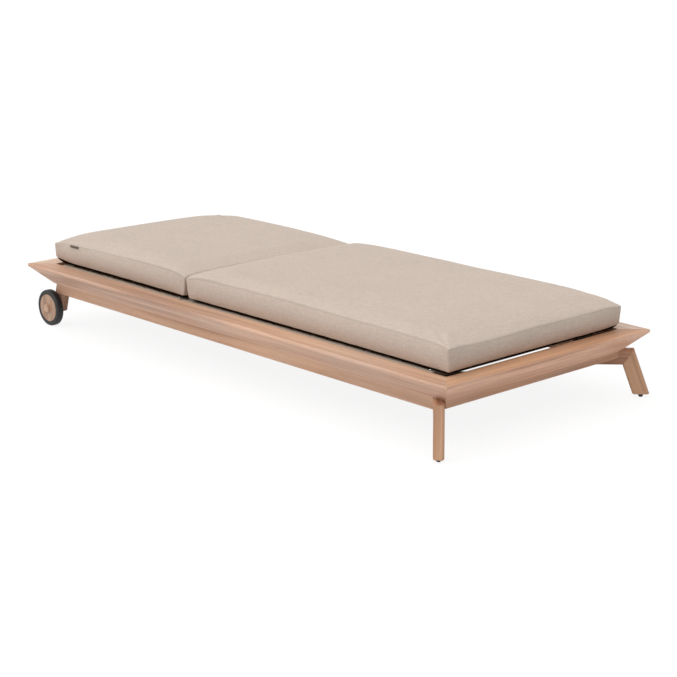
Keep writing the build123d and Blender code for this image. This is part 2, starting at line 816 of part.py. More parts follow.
back_slats_head_x = back_deck_head_x + deck_rail_width
back_slats_foot_x = back_rail_foot_x - deck_rail_width
save(
    cross_rail(back_deck_head_x, back_slats_head_x, stile_inner_y, deck_bottom, deck_top),
    "back_rail_head",
)
save(
    cross_rail(back_slats_foot_x, back_rail_foot_x, stile_inner_y, deck_bottom, deck_top),
    "back_rail_foot",
)
save(
    cross_rail(
        prop_pivot_x - bracket_length / 2,
        prop_pivot_x + bracket_length / 2,
        stile_inner_y,
        deck_bottom,
        slat_bottom,
    ),
    "back_mid_rail",
)
save(slat_row(back_slats_head_x, back_slats_foot_x), "back_slats")

with BuildPart() as hinge_pins:
    with BuildSketch(Plane.XZ.offset(stile_outer_y - hinge_pin_in_stile + pad_clear)):
        with Locations((hinge_x, hinge_z)):
            Circle(hinge_pin_radius)
    extrude(amount=hinge_pin_in_stile - pad_clear + stile_side_gap + hinge_pin_in_rim)
    mirror(about=Plane.XZ)
save(hinge_pins, "hinge_pins")

# Cross bearers between the side beams, under the seat deck
last_bearer_x = first_bearer_x + (bearer_count - 1) * bearer_pitch
with BuildPart() as cross_bearers:
    with BuildSketch(Plane.XY.offset(ledge_top - bearer_height)):
        with Locations(((first_bearer_x + last_bearer_x) / 2, 0)):
            with GridLocations(bearer_pitch, 1, bearer_count, 1):
                Rectangle(bearer_width, 2 * beam_inner_y)
    extrude(amount=bearer_height)
save(cross_bearers, "cross_bearers")

# Pads: under the seat stiles and spine at each bearer, and under the back stiles
pad_y = (rim_inner_y + beam_inner_y) / 2
with BuildPart() as deck_pads:
    with BuildSketch(Plane.XY.offset(ledge_top)):
        with Locations(((first_bearer_x + last_bearer_x) / 2, 0)):
            with GridLocations(bearer_pitch, pad_y, bearer_count, 3):
                Rectangle(pad_length, pad_width)
    extrude(amount=deck_bottom - ledge_top)
    with BuildSketch(Plane.XY.offset(ledge_top)):
        with Locations(
            (back_deck_head_x + back_pad_head_inset, pad_y),
            (back_deck_head_x + back_pad_head_inset, -pad_y),
            (hinge_x - back_pad_foot_inset, pad_y),
            (hinge_x - back_pad_foot_inset, -pad_y),
        ):
            Rectangle(pad_length, pad_width)
    extrude(amount=deck_bottom - ledge_top - pad_clear)
save(deck_pads, "deck_pads")

# Prop: two flat arms on pins under the back deck, joined by a round bar
with BuildPart() as prop_brackets:
    with BuildSketch(Plane.XY.offset(deck_bottom - bracket_thickness)):
        with Locations((prop_pivot_x, bracket_outer_y + bracket_flange / 2)):
            Rectangle(bracket_length, bracket_flange)
    extrude(amount=bracket_thickness)
    with BuildSketch(Plane.XZ.offset(-bracket_inner_y)):
        with BuildLine():
            Polyline(
                (prop_pivot_x - bracket_ear_radius, prop_z),
                (prop_pivot_x + bracket_ear_radius, prop_z),
                (prop_pivot_x + bracket_length / 2, deck_bottom - bracket_thickness),
                (prop_pivot_x + bracket_length / 2, deck_bottom),
                (prop_pivot_x - bracket_length / 2, deck_bottom),
                (prop_pivot_x - bracket_length / 2, deck_bottom - bracket_thickness),
                close=True,
            )
        make_face()
        with Locations((prop_pivot_x, prop_z)):
            Circle(bracket_ear_radius)
            Circle(prop_pin_radius + press_gap, mode=Mode.SUBTRACT)
    extrude(amount=bracket_thickness)
    mirror(about=Plane.XZ)
save(prop_brackets, "prop_brackets")

with BuildPart() as prop_pins:
    with BuildSketch(Plane.XZ.offset(-bracket_outer_y)):
        with Locations((prop_pivot_x, prop_z)):
            Circle(prop_pin_head_radius)
    extrude(amount=prop_pin_head)
    with BuildSketch(Plane.XZ.offset(-bracket_outer_y)):
        with Locations((prop_pivot_x, prop_z)):
            Circle(prop_pin_radius)
    extrude(amount=-(prop_inner_y - bracket_outer_y + prop_pin_tail))
    mirror(about=Plane.XZ)
save(prop_pins, "prop_pins")

with BuildPart() as prop_arm:
    with BuildSketch(Plane.XZ.offset(-prop_inner_y)):
        with Locations(((prop_pivot_x + prop_bar_x) / 2, prop_z)):
            SlotCenterToCenter(prop_arm_length, prop_arm_depth)
        with Locations((prop_pivot_x, prop_z)):
            Circle(prop_pin_radius + running_fit, mode=Mode.SUBTRACT)
        with Locations((prop_bar_x, prop_z)):
            Circle(prop_bar_radius + press_gap, mode=Mode.SUBTRACT)
    extrude(amount=prop_arm_thickness)
save_pair(prop_arm, "prop_arm")

with BuildPart() as prop_bar:
    with BuildSketch(Plane.XZ):
        with Locations((prop_bar_x, prop_z)):
            Circle(prop_bar_radius)
    extrude(amount=prop_bar_half_length, both=True)
save(prop_bar, "prop_bar")


def notch_outline(stop_x):
    """One notch: a steep stop towards the head, a floor, and a ramp towards the foot."""
    with BuildLine() as outline:
        Polyline(
            (stop_x, notch_rail_top + overrun),
            (stop_x, notch_rail_top - notch_depth),
            (stop_x + notch_floor, notch_rail_top - notch_depth),
            (stop_x + notch_floor + notch_slope, notch_rail_top),
            (stop_x + notch_floor + notch_slope, notch_rail_top + overrun),
            close=True,
        )
    make_face(outline.edges(), mode=Mode.SUBTRACT)


# Notched rails, screwed to the side beams, that hold the prop bar
with BuildPart() as notch_rail:
    with BuildSketch(Plane.XZ.offset(beam_inner_y - notch_rail_thickness)) as notch_profile:
        with BuildLine():
            Polyline(
                (notch_rail_head_x, notch_rail_top - notch_rail_depth),
                (notch_rail_foot_x, notch_rail_top - notch_rail_depth),
                (notch_rail_foot_x, notch_rail_top),
                (notch_rail_head_x, notch_rail_top),
                close=True,
            )
        make_face()
        for index in range(notch_count):
            notch_outline(first_stop_x - index * notch_pitch)
        notch_floors = notch_profile.vertices().group_by(Axis.Y)[1]
        fillet(notch_floors, radius=notch_round)
    extrude(amount=notch_rail_thickness)
    with BuildSketch(Plane.XZ.offset(beam_inner_y - notch_rail_thickness)):
        with Locations(
            (notch_rail_head_x + notch_end_margin / 2, notch_rail_top - rail_screw_drop),
            (notch_rail_foot_x - notch_end_margin / 2, notch_rail_top - rail_screw_drop),
        ):
            Circle(rail_screw_radius + bolt_fit)
    extrude(amount=notch_rail_thickness, mode=Mode.SUBTRACT)
save_pair(notch_rail, "notch_rail")

with BuildPart() as rail_screws:
    with BuildSketch(Plane.XZ.offset(beam_inner_y - notch_rail_thickness)):
        with Locations(
            (notch_rail_head_x + notch_end_margin / 2, notch_rail_top - rail_screw_drop),
            (notch_rail_foot_x - notch_end_margin / 2, notch_rail_top - rail_screw_drop),
        ):
            Circle(rail_screw_radius)
    extrude(amount=notch_rail_thickness + rail_screw_bite)
    with BuildSketch(Plane.XZ.offset(beam_inner_y - notch_rail_thickness)):
        with Locations(
            (notch_rail_head_x + notch_end_margin / 2, notch_rail_top - rail_screw_drop),
            (notch_rail_foot_x - notch_end_margin / 2, notch_rail_top - rail_screw_drop),
        ):
            Circle(rail_screw_head_radius)
    extrude(amount=-rail_screw_head)
    mirror(about=Plane.XZ)
save(rail_screws, "rail_screws")


def swell(distance, run):
    """Quarter-round rise from nought at an edge to one at the end of its run."""
    share = min(distance / run, 1)
    return sqrt(1 - (1 - share) ** 2)


def rounding(start, turn, end):
    """A wide arc that leaves a flat panel, then a tight one that meets the seam."""
    wide = TangentArc(start, turn, tangent=(start[0], 0))
    TangentArc(wide @ 1, end, tangent=wide % 1)


def cushion_section(half_run, seam, top, bottom):
    """Cross-section of a cushion: drawn-in sides, a crowned top and a crowned underside."""
    low = rim_height + cushion_lift
    waist = half_run - cushion_waist
    shoulder = half_run - cushion_side_round
    heel = half_run - cushion_under_round
    turn = half_run - cushion_side_round * turn_in_share
    tuck = half_run - cushion_under_round * turn_in_share
    high = seam + (top - seam) * turn_up_share
    deep = low - (low - bottom) * turn_up_share
    with BuildLine() as outline:
        Line((-heel, bottom), (heel, bottom))
        rounding((heel, bottom), (tuck, deep), (half_run, low))
        ThreePointArc((half_run, low), (waist, (low + seam) / 2), (half_run, seam))
        rounding((shoulder, top), (turn, high), (half_run, seam))
        Line((shoulder, top), (-shoulder, top))
        rounding((-shoulder, top), (-turn, high), (-half_run, seam))
        ThreePointArc((-half_run, seam), (-waist, (low + seam) / 2), (-half_run, low))
        rounding((-heel, bottom), (-tuck, deep), (-half_run, low))
    make_face(outline.edges())


def cushion_stations(head_x, foot_x):
    """Places of the cross-sections: close together at both ends, and one in the middle."""
    from_head = [head_x + cushion_seam_run * share for share in station_shares]
    from_foot = [foot_x - cushion_seam_run * share for share in reversed(station_shares)]
    return from_head + [(head_x + foot_x) / 2] + from_foot


def cushion(head_x, foot_x, seams, crown):
    """Box cushion, lofted along its length. Its seam is lower at the ends than at the sides."""
    head_seam, side_seam, foot_seam = seams
    full_run = rim_inner_y - cushion_side_overhang
    low = rim_height + cushion_lift
    depth = low - deck_top - cushion_deck_gap
    least = cushion_least_crown
    with BuildPart(mode=Mode.PRIVATE) as body:
        for x in cushion_stations(head_x, foot_x):
            end_gap = min(x - head_x, foot_x - x)
            end_seam = head_seam if x - head_x < foot_x - x else foot_seam
            seam = rim_height + end_seam
            seam = seam + (side_seam - end_seam) * swell(end_gap, cushion_seam_run)
            pinch = cushion_corner_pinch * (1 - swell(end_gap, cushion_corner_run))
            pull = cushion_side_pull * end_gap / (foot_x - head_x) * 2
            top = seam + least + crown * swell(end_gap, cushion_end_round)
            bottom = low - least - (depth - least) * swell(end_gap, cushion_under_round)
            with BuildSketch(Plane.YZ.offset(x)):
                cushion_section(full_run - pinch - pull, seam, top, bottom)
        loft(ruled=True)
    return body


cushion_split_x = seat_deck_head_x + cushion_split_overlap
seat_cushion_head_x = cushion_split_x + cushion_split_gap / 2
back_cushion_foot_x = cushion_split_x - cushion_split_gap / 2
save(
    cushion(
        seat_cushion_head_x,
        rim_inner_x + cushion_foot_overlap,
        (seat_seam_at_split, seat_seam, seat_seam_at_foot),
        seat_crown,
    ),
    "seat_cushion",
)
save(
    cushion(
        -rim_inner_x - cushion_head_overlap,
        back_cushion_foot_x,
        (back_seam_at_head, back_seam, back_seam_at_split),
        back_crown,
    ),
    "back_cushion",
)
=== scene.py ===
import bpy
import numpy as np
from math import cos, pi, radians, sin
from mathutils import Matrix, Vector, noise
from typing import NamedTuple


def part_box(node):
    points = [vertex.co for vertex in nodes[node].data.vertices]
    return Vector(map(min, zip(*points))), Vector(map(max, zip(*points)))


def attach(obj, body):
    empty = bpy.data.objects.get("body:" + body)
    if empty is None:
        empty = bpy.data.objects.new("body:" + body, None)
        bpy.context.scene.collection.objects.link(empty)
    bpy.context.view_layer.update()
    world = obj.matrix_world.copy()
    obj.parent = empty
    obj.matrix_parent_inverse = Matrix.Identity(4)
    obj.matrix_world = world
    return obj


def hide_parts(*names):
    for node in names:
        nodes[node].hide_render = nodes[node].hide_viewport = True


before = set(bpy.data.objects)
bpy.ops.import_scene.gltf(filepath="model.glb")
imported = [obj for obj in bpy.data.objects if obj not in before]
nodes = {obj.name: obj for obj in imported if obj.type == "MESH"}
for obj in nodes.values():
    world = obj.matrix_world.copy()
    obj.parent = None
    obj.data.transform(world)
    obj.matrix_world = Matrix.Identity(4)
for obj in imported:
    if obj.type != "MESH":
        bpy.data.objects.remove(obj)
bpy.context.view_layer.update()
scene = bpy.context.scene
scene.view_settings.view_transform = "Standard"


# Sizes from the frame, in metres


def rounded(size):
    """A size to a tenth of a millimetre."""
    return round(size, 4)


rim_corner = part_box("rim_rail_near")[1]
seat_low, seat_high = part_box("seat_cushion")
back_low, back_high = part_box("back_cushion")

# Gap between the rim's inner edge and the cushions' outline
RIM_GAP = 0.001
# How far the cushions start below their CAD tops, before they are blown up
SEAT_SWELL = 0.0035
BACK_SWELL = 0.003

RIM_TOP = rounded(rim_corner.z)
DECK_TOP = rounded(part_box("seat_slats")[1].z)
HALF_RUN = rounded(-rim_corner.y - RIM_GAP)
SEAT_HEAD_X = rounded(seat_low.x)
SEAT_FOOT_X = rounded(seat_high.x)
BACK_HEAD_X = rounded(back_low.x)
BACK_FOOT_X = rounded(back_high.x)
SEAT_TOP = rounded(seat_high.z - SEAT_SWELL)
BACK_TOP = rounded(back_high.z - BACK_SWELL)


# Material building

# Sockets of a Mix node that mixes colours: its share, the two colours, and the result
MIX_INPUTS = (0, 6, 7)
MIX_RESULT = 2


class Tree:
    """Short names for building a material's nodes."""

    def __init__(self, name):
        self.mat = bpy.data.materials.new(name)
        self.mat.use_nodes = True
        self.nodes = self.mat.node_tree.nodes
        self.links = self.mat.node_tree.links
        self.nodes.clear()
        self.shader = self.add("ShaderNodeBsdfPrincipled")
        out = self.add("ShaderNodeOutputMaterial")
        self.link(self.shader.outputs["BSDF"], out.inputs["Surface"])
        self.place = self.add("ShaderNodeTexCoord").outputs["Object"]

    def add(self, kind, **values):
        node = self.nodes.new(kind)
        for key, value in values.items():
            setattr(node, key, value)
        return node

    def link(self, source, target):
        self.links.new(source, target)

    def put(self, socket, value):
        """Links a socket, or sets its value, where a tuple is a colour."""
        if hasattr(value, "links"):
            self.link(value, socket)
        elif isinstance(value, tuple):
            socket.default_value = (*value, 1)
        else:
            socket.default_value = value

    def give(self, name, value):
        """Links or sets one of the shader's own sockets."""
        self.put(self.shader.inputs[name], value)

    def math(self, operation, *values):
        node = self.add("ShaderNodeMath", operation=operation)
        for socket, value in zip(node.inputs, values):
            self.put(socket, value)
        return node.outputs[0]

    def split(self, vector):
        """Outputs X, Y and Z of a vector."""
        node = self.add("ShaderNodeSeparateXYZ")
        self.link(vector, node.inputs[0])
        return node.outputs

    def mapped(self, place, **values):
        """Place turned, stretched or moved, by the Mapping node's Rotation, Scale or Location."""
        node = self.add("ShaderNodeMapping")
        for name, value in values.items():
            node.inputs[name].default_value = value
        self.link(place, node.inputs["Vector"])
        return node.outputs[0]

    def noise(self, place, scale, detail=2.0, rough=0.5):
        node = self.add("ShaderNodeTexNoise")
        self.link(place, node.inputs["Vector"])
        node.inputs["Scale"].default_value = scale
        node.inputs["Detail"].default_value = detail
        node.inputs["Roughness"].default_value = rough
        return node.outputs["Fac"]

    def streaks(self, place, axis, scales, detail=2.0, rough=0.5):
        """Noise drawn out along an axis, by its scales along that axis and across it."""
        along, across = scales
        stretch = [across, across, across]
        stretch[axis] = along
        return self.noise(self.mapped(place, Scale=stretch), 1.0, detail, rough)

    def ramp(self, level, stops):
        """Colour that follows a level through (place, colour) stops."""
        node = self.add("ShaderNodeValToRGB")
        elements = node.color_ramp.elements
        while len(elements) < len(stops):
            elements.new(0.5)
        for element, (place, colour) in zip(elements, stops):
            element.position = place
            element.color = (*colour, 1)
        self.link(level, node.inputs["Fac"])
        return node.outputs["Color"]

    def mix(self, share, first, second, mode="MIX"):
        node = self.add("ShaderNodeMix", data_type="RGBA", blend_type=mode)
        for index, value in zip(MIX_INPUTS, (share, first, second)):
            self.put(node.inputs[index], value)
        return node.outputs[MIX_RESULT]

    def shade(self, colour, level, stops, share=1.0):
        """Multiplies a colour by the tones that a level gives."""
        return self.mix(share, colour, self.ramp(level, stops), "MULTIPLY")

    def tint(self, colour, level, stops, tint):
        """Multiplies a colour by a tint, as far as the level's stops are white."""
        share = self.ramp(level, stops)
        return self.mix(share, colour, self.mix(1.0, colour, tint, "MULTIPLY"))

    def roughen(self, level, least, spread):
        """Roughness that grows with a level."""
        self.give("Roughness", self.math("MULTIPLY_ADD", level, spread, least))

    def bump(self, height, strength, distance):
        node = self.add("ShaderNodeBump")
        node.inputs["Strength"].default_value = strength
        node.inputs["Distance"].default_value = distance
        self.link(height, node.inputs["Height"])
        self.give("Normal", node.outputs["Normal"])


def srgb(red, green, blue):
    """Linear colour from display values of 0 to 255."""
    linear = []
    for value in (red, green, blue):
        level = value / 255
        linear.append(level / 12.92 if level <= 0.04045 else ((level + 0.055) / 1.055) ** 2.4)
    return tuple(linear)


def scaled(colour, *factors):
    """A colour with one factor for all channels, or one for each."""
    if len(factors) == 1:
        factors = factors * 3
    return tuple(channel * factor for channel, factor in zip(colour, factors))


# Teak

TEAK_LIGHT = srgb(222, 184, 158)
TEAK_MIDDLE = srgb(206, 166, 141)
TEAK_DARK = srgb(178, 138, 115)

# Noise scales along the grain and across it
SWAY_SCALES = (1.1, 6)
BAND_SCALES = (0.9, 26)
LINE_SCALES = (0.55, 95)
FIBRE_SCALES = (5, 420)
PORE_SCALES = (40, 1500)
BLOTCH_SCALE = 3.2

# How far the grain sways sideways, in metres
SWAY = 0.045
# Where a board's piece of grain lies, per unit of its seed
SEED_STEP = (1.37, 0.71, 0.53)

# Tones along each noise, and the share of them that is used
BAND_STOPS = (0.30, 0.46, 0.62)
LINE_TONES = ((0.34, (0.80, 0.74, 0.70)), (0.48, (0.97, 0.96, 0.95)), (0.64, (1.04, 1.03, 1.02)))
LINE_SHARE = 0.85
FIBRE_TONES = ((0.35, (0.88, 0.86, 0.84)), (0.6, (1.03, 1.03, 1.03)))
FIBRE_SHARE = 0.55
PORE_TONES = ((0.30, (0.66, 0.58, 0.52)), (0.40, (1, 1, 1)))
PORE_SHARE = 0.45
BLOTCH_TONES = ((0.38, (1.03, 0.98, 0.94)), (0.62, (0.97, 0.99, 1.03)))
BLOTCH_SHARE = 0.7

# Shares of the fibres and the pores in the surface's relief
FIBRE_RELIEF = 0.5
PORE_RELIEF = 0.4

# The grain is turned so that it runs along x
ALONG_GRAIN = 0

# How level a face is, from the place that is black to the one that is white, to count as a top or an
# underside that gets painted light and shade
PAINTED_LIGHT_TOP = ((0.80, (0, 0, 0)), (0.95, (1, 1, 1)))
PAINTED_LIGHT_UNDERSIDE = ((0.40, (0, 0, 0)), (0.65, (1, 1, 1)))


def teak(name, grain, seed, tint, streak=1.0, upper=None, under=None):
    """Oiled teak with bands, growth lines, fibres and pores along its grain.

    A tint turns the whole board's tones; the upper and under tints are painted light and shade on its top
    and its underside: painted shade, painted sheen and painted bounce light.
    """
    t = Tree(name)
    turn = grain.normalized().to_track_quat("X", "Z").to_matrix().transposed()
    local = t.mapped(t.place, Rotation=turn.to_euler())
    shifted = t.mapped(local, Location=[seed * step for step in SEED_STEP])
    sway = t.math("SUBTRACT", t.streaks(shifted, ALONG_GRAIN, SWAY_SCALES, detail=1.0), 0.5)
    straight = t.split(shifted)
    join = t.add("ShaderNodeCombineXYZ")
    t.link(straight["X"], join.inputs["X"])
    for axis in ("Y", "Z"):
        t.link(t.math("MULTIPLY_ADD", sway, SWAY, straight[axis]), join.inputs[axis])
    swayed = join.outputs[0]
    bands = t.streaks(swayed, ALONG_GRAIN, BAND_SCALES, rough=0.55)
    lines = t.streaks(swayed, ALONG_GRAIN, LINE_SCALES, detail=3.0, rough=0.6)
    fibres = t.streaks(swayed, ALONG_GRAIN, FIBRE_SCALES, rough=0.6)
    pores = t.streaks(swayed, ALONG_GRAIN, PORE_SCALES, detail=1.0)
    tones = [scaled(tone, *tint) for tone in (TEAK_DARK, TEAK_MIDDLE, TEAK_LIGHT)]
    colour = t.ramp(bands, list(zip(BAND_STOPS, tones)))
    colour = t.shade(colour, lines, LINE_TONES, LINE_SHARE * streak)
    colour = t.shade(colour, fibres, FIBRE_TONES, FIBRE_SHARE)
    colour = t.shade(colour, pores, PORE_TONES, PORE_SHARE)
    colour = t.shade(colour, t.noise(shifted, BLOTCH_SCALE), BLOTCH_TONES, BLOTCH_SHARE)
    # Painted light and shade: tops and undersides, found by the object's normal, get their own tints that
    # stand in for how the lamps and the cushion light them
    facing = t.split(t.add("ShaderNodeTexCoord").outputs["Normal"])["Z"]
    if upper:
        colour = t.tint(colour, facing, PAINTED_LIGHT_TOP, upper)
    if under:
        colour = t.tint(colour, t.math("MULTIPLY", facing, -1.0), PAINTED_LIGHT_UNDERSIDE, under)
    t.give("Base Color", colour)
    t.roughen(lines, least=0.42, spread=0.18)
    t.give("Specular IOR Level", 0.35)
    relief = t.math("MULTIPLY_ADD", fibres, FIBRE_RELIEF, t.math("MULTIPLY", pores, PORE_RELIEF))
    t.bump(relief, strength=0.25, distance=0.0006)
    return t.mat


# Fittings, wheels and deck frames


def coating(name, colour):
    """Powder coat: one colour with a fine orange-peel surface and faint dust."""
    t = Tree(name)
    dust = t.noise(t.place, scale=9.0, detail=3.0)
    t.give("Base Color", t.ramp(dust, ((0.35, scaled(colour, 0.94)), (0.65, scaled(colour, 1.05)))))
    t.roughen(dust, least=0.48, spread=0.15)
    t.bump(t.noise(t.place, scale=1400.0), strength=0.2, distance=0.0003)
    return t.mat


def steel(name, colour):
    """Brushed stainless steel with fine turned lines."""
    t = Tree(name)
    brush = t.streaks(t.place, axis=0, scales=(60, 1800))
    t.give("Base Color", t.ramp(brush, ((0.3, scaled(colour, 0.8)), (0.7, colour))))
    t.give("Metallic", 1.0)
    t.roughen(brush, least=0.25, spread=0.2)
    t.bump(brush, strength=0.15, distance=0.0002)
    return t.mat


def rubber(name):
    """Matt black tyre rubber, a little dusty."""
    t = Tree(name)
    dust = t.noise(t.place, scale=55.0, detail=4.0, rough=0.6)
    t.give("Base Color", t.ramp(dust, ((0.4, (0.004, 0.004, 0.005)), (0.7, (0.015, 0.015, 0.016)))))
    t.roughen(dust, least=0.45, spread=0.2)
    t.bump(t.noise(t.place, scale=900.0), strength=0.3, distance=0.0004)
    return t.mat


def plastic(name, colour):
    """Moulded plastic with a fine grain."""
    t = Tree(name)
    grain = t.noise(t.place, scale=700.0)
    t.give("Base Color", t.ramp(grain, ((0.3, scaled(colour, 0.85)), (0.7, colour))))
    t.give("Roughness", 0.6)
    t.bump(grain, strength=0.2, distance=0.0003)
    return t.mat


# Cloth

# Noise scales along a thread and across it
THREAD_SCALES = (55, 850)
SLUB_SCALES = (11, 230)
CLOUD_SCALE = 7.0

# Tones along each noise
THREAD_STOPS = (0.38, 0.50, 0.62)
SLUB_TONES = ((0.36, (0.945, 0.94, 0.935)), (0.64, (1.04, 1.04, 1.04)))
SLUB_SHARE = 0.8
CLOUD_TONES = ((0.35, (0.985, 0.985, 0.985)), (0.65, (1.01, 1.01, 1.01)))

# How much a seam's line of painted shade covers the cloth, and its tone as a share of the deepest thread's
SEAM_SHADE_SHARE = 0.32
SEAM_SHADE_TONE = 0.42


def cloth(name, light, middle, deep, gloss=0.2, fuzz=0.1):
    """Woven melange cloth: threads along each axis, uneven yarn, seam lines of stitching and painted shade,
    and a soft fuzz.
    """
    t = Tree(name)
    along_x, along_y, along_z = (t.streaks(t.place, axis, THREAD_SCALES, rough=0.6) for axis in range(3))
    threads = t.math("DIVIDE", t.math("ADD", t.math("ADD", along_x, along_y), along_z), 3.0)
    slub_x, slub_y = (t.streaks(t.place, axis, SLUB_SCALES) for axis in range(2))
    slubs = t.math("DIVIDE", t.math("ADD", slub_x, slub_y), 2.0)
    tone = t.ramp(threads, list(zip(THREAD_STOPS, (deep, middle, light))))
    tone = t.shade(tone, slubs, SLUB_TONES, SLUB_SHARE)
    tone = t.shade(tone, t.noise(t.place, CLOUD_SCALE, detail=3.0), CLOUD_TONES)
    # Painted shade: the seam attribute darkens a thin line along each seam, partly its stitching and partly
    # the shade in its groove
    seam = t.add("ShaderNodeAttribute", attribute_name="seam").outputs["Fac"]
    tone = t.mix(t.math("MULTIPLY", seam, SEAM_SHADE_SHARE), tone, scaled(deep, SEAM_SHADE_TONE))
    t.give("Base Color", tone)
    t.give("Roughness", 0.9)
    t.give("Specular IOR Level", gloss)
    t.give("Sheen Weight", fuzz)
    t.bump(threads, strength=0.3, distance=0.001)
    return t.mat


linen = cloth("cushion_cloth", srgb(218, 202, 189), srgb(206, 190, 177), srgb(188, 171, 158))
# Underside: a dark mesh cloth, made near black as painted shade for the shadowed gap under the cushion's
# edge
underside_cloth_painted_shade = cloth(
    "underside_mesh", srgb(40, 30, 20), srgb(30, 22, 14), srgb(20, 14, 8), gloss=0.0, fuzz=0.0
)
tab_cloth = cloth("tab_cloth", srgb(134, 117, 105), srgb(108, 93, 82), srgb(84, 71, 62))


# Materials on the CAD nodes


def dress(material, *names):
    """Gives nodes one material."""
    for name in names:
        obj = nodes[name]
        obj.data.materials.clear()
        obj.data.materials.append(material)


def both(name):
    """A name on the near side and on the far side."""
    return name + "_near", name + "_far"


def board(name, grain, seed, tint, *names, **looks):
    """Gives one board, or a few alike, teak of its own."""
    dress(teak("teak_" + name, grain, seed, tint, **looks), *names)


LEG_SPLAY = radians(20)
HEAD_LEG_LEAN = radians(17)

# Grain directions: x runs from head to foot and y from the near side to the far side
LENGTHWISE = Vector((1, 0, 0))
CROSSWISE = Vector((0, 1, 0))
UPRIGHT = Vector((0, 0, 1))
CORNER_NEAR = (LENGTHWISE - CROSSWISE).normalized()
CORNER_FAR = (LENGTHWISE + CROSSWISE).normalized()
POST_NEAR = CORNER_NEAR * sin(LEG_SPLAY) - UPRIGHT * cos(LEG_SPLAY)
POST_FAR = CORNER_FAR * sin(LEG_SPLAY) - UPRIGHT * cos(LEG_SPLAY)
HEAD_LEG = -LENGTHWISE * sin(HEAD_LEG_LEAN) - UPRIGHT * cos(HEAD_LEG_LEAN)

# Each board: its name, grain, seed and tint, the nodes that it dresses, its streak, and the painted light
# and shade on its top and its underside
# Near rail: top painted darker as painted shade from the cushion beside it, underside painted a little
# darker as painted shade
board(
    "rail_near", LENGTHWISE, 1.0, (1.22, 1.28, 1.34), "rim_rail_near",
    streak=0.75, upper=(0.77, 0.74, 0.69), under=(0.94, 0.94, 0.94),
)
# Far rail: top painted paler and cooler as a painted sheen
board("rail_far", LENGTHWISE, 2.3, (1.06, 1.09, 1.08), "rim_rail_far", upper=(0.86, 1.00, 1.16))
# Foot rail: top painted darker as painted shade under the cushion's overhang, underside painted lighter as
# painted bounce light
board(
    "rail_foot", CROSSWISE, 3.1, (1.16, 1.13, 1.12), "rim_rail_foot",
    streak=0.9, upper=(0.80, 0.74, 0.63), under=(1.08, 1.05, 1.02),
)
# Head rail: top painted paler and cooler as a painted sheen
board("rail_head", CROSSWISE, 4.7, (1.02, 1.06, 1.08), "rim_rail_head", upper=(1.08, 1.18, 1.22))
board("beam_near", LENGTHWISE, 5.2, (1.05, 1.05, 1.02), "side_beam_near", streak=0.7)
board("beam_far", LENGTHWISE, 6.9, (1.05, 1.05, 1.03), "side_beam_far")
board("beam_ends", CROSSWISE, 7.4, (1.00, 0.96, 0.91), "head_beam", "foot_beam", "cross_bearers")
board("arm_near", CORNER_NEAR, 8.2, (0.94, 0.88, 0.79), "foot_leg_arm_near")
board("arm_far", CORNER_FAR, 9.1, (0.88, 0.80, 0.72), "foot_leg_arm_far")
board("post_near", POST_NEAR, 10.3, (0.93, 0.89, 0.80), "foot_leg_post_near")
board("post_far", POST_FAR, 11.8, (0.92, 0.88, 0.80), "foot_leg_post_far")
board("brace_near", CORNER_FAR, 12.6, (1, 1, 1), "foot_brace_near")
board("brace_far", CORNER_NEAR, 13.5, (1, 1, 1), "foot_brace_far")
board("head_leg", HEAD_LEG, 14.9, (1.00, 1.00, 0.98), *both("head_leg"))
board("wheel", UPRIGHT, 15.7, (0.80, 0.84, 0.84), *both("wheel_disc"), streak=0.8)
board("hub", CROSSWISE, 16.2, (0.95, 0.95, 0.92), *both("hub_cap"), streak=0.8)
board("slats", CROSSWISE, 17.9, (1, 1, 1), "seat_slats", "back_slats")
board("notches", LENGTHWISE, 18.4, (1, 1, 1), *both("notch_rail"))

dress(
    coating("taupe_coat", srgb(206, 190, 174)),
    *both("seat_stile"),
    *both("back_stile"),
    "seat_rail_head",
    "seat_rail_foot",
    "seat_spine",
    "back_rail_foot",
    "back_rail_head",
    "back_mid_rail",
)
dress(
    steel("steel_parts", (0.62, 0.62, 0.61)),
    "leg_bolts",
    "head_leg_bolts",
    "axle_bolts",
    "axle_nuts",
    "wheel_spacers",
    "hinge_pins",
    "rail_screws",
    "prop_brackets",
    "prop_pins",
    "prop_bar",
    *both("prop_arm"),
)
dress(rubber("tyre_rubber"), *both("tyre"))
dress(plastic("black_plastic", (0.02, 0.02, 0.02)), "foot_glides", "deck_pads")
dress(plastic("bush_plastic", (0.6, 0.58, 0.54)), *both("wheel_bush"))


# Cushion forms, in metres

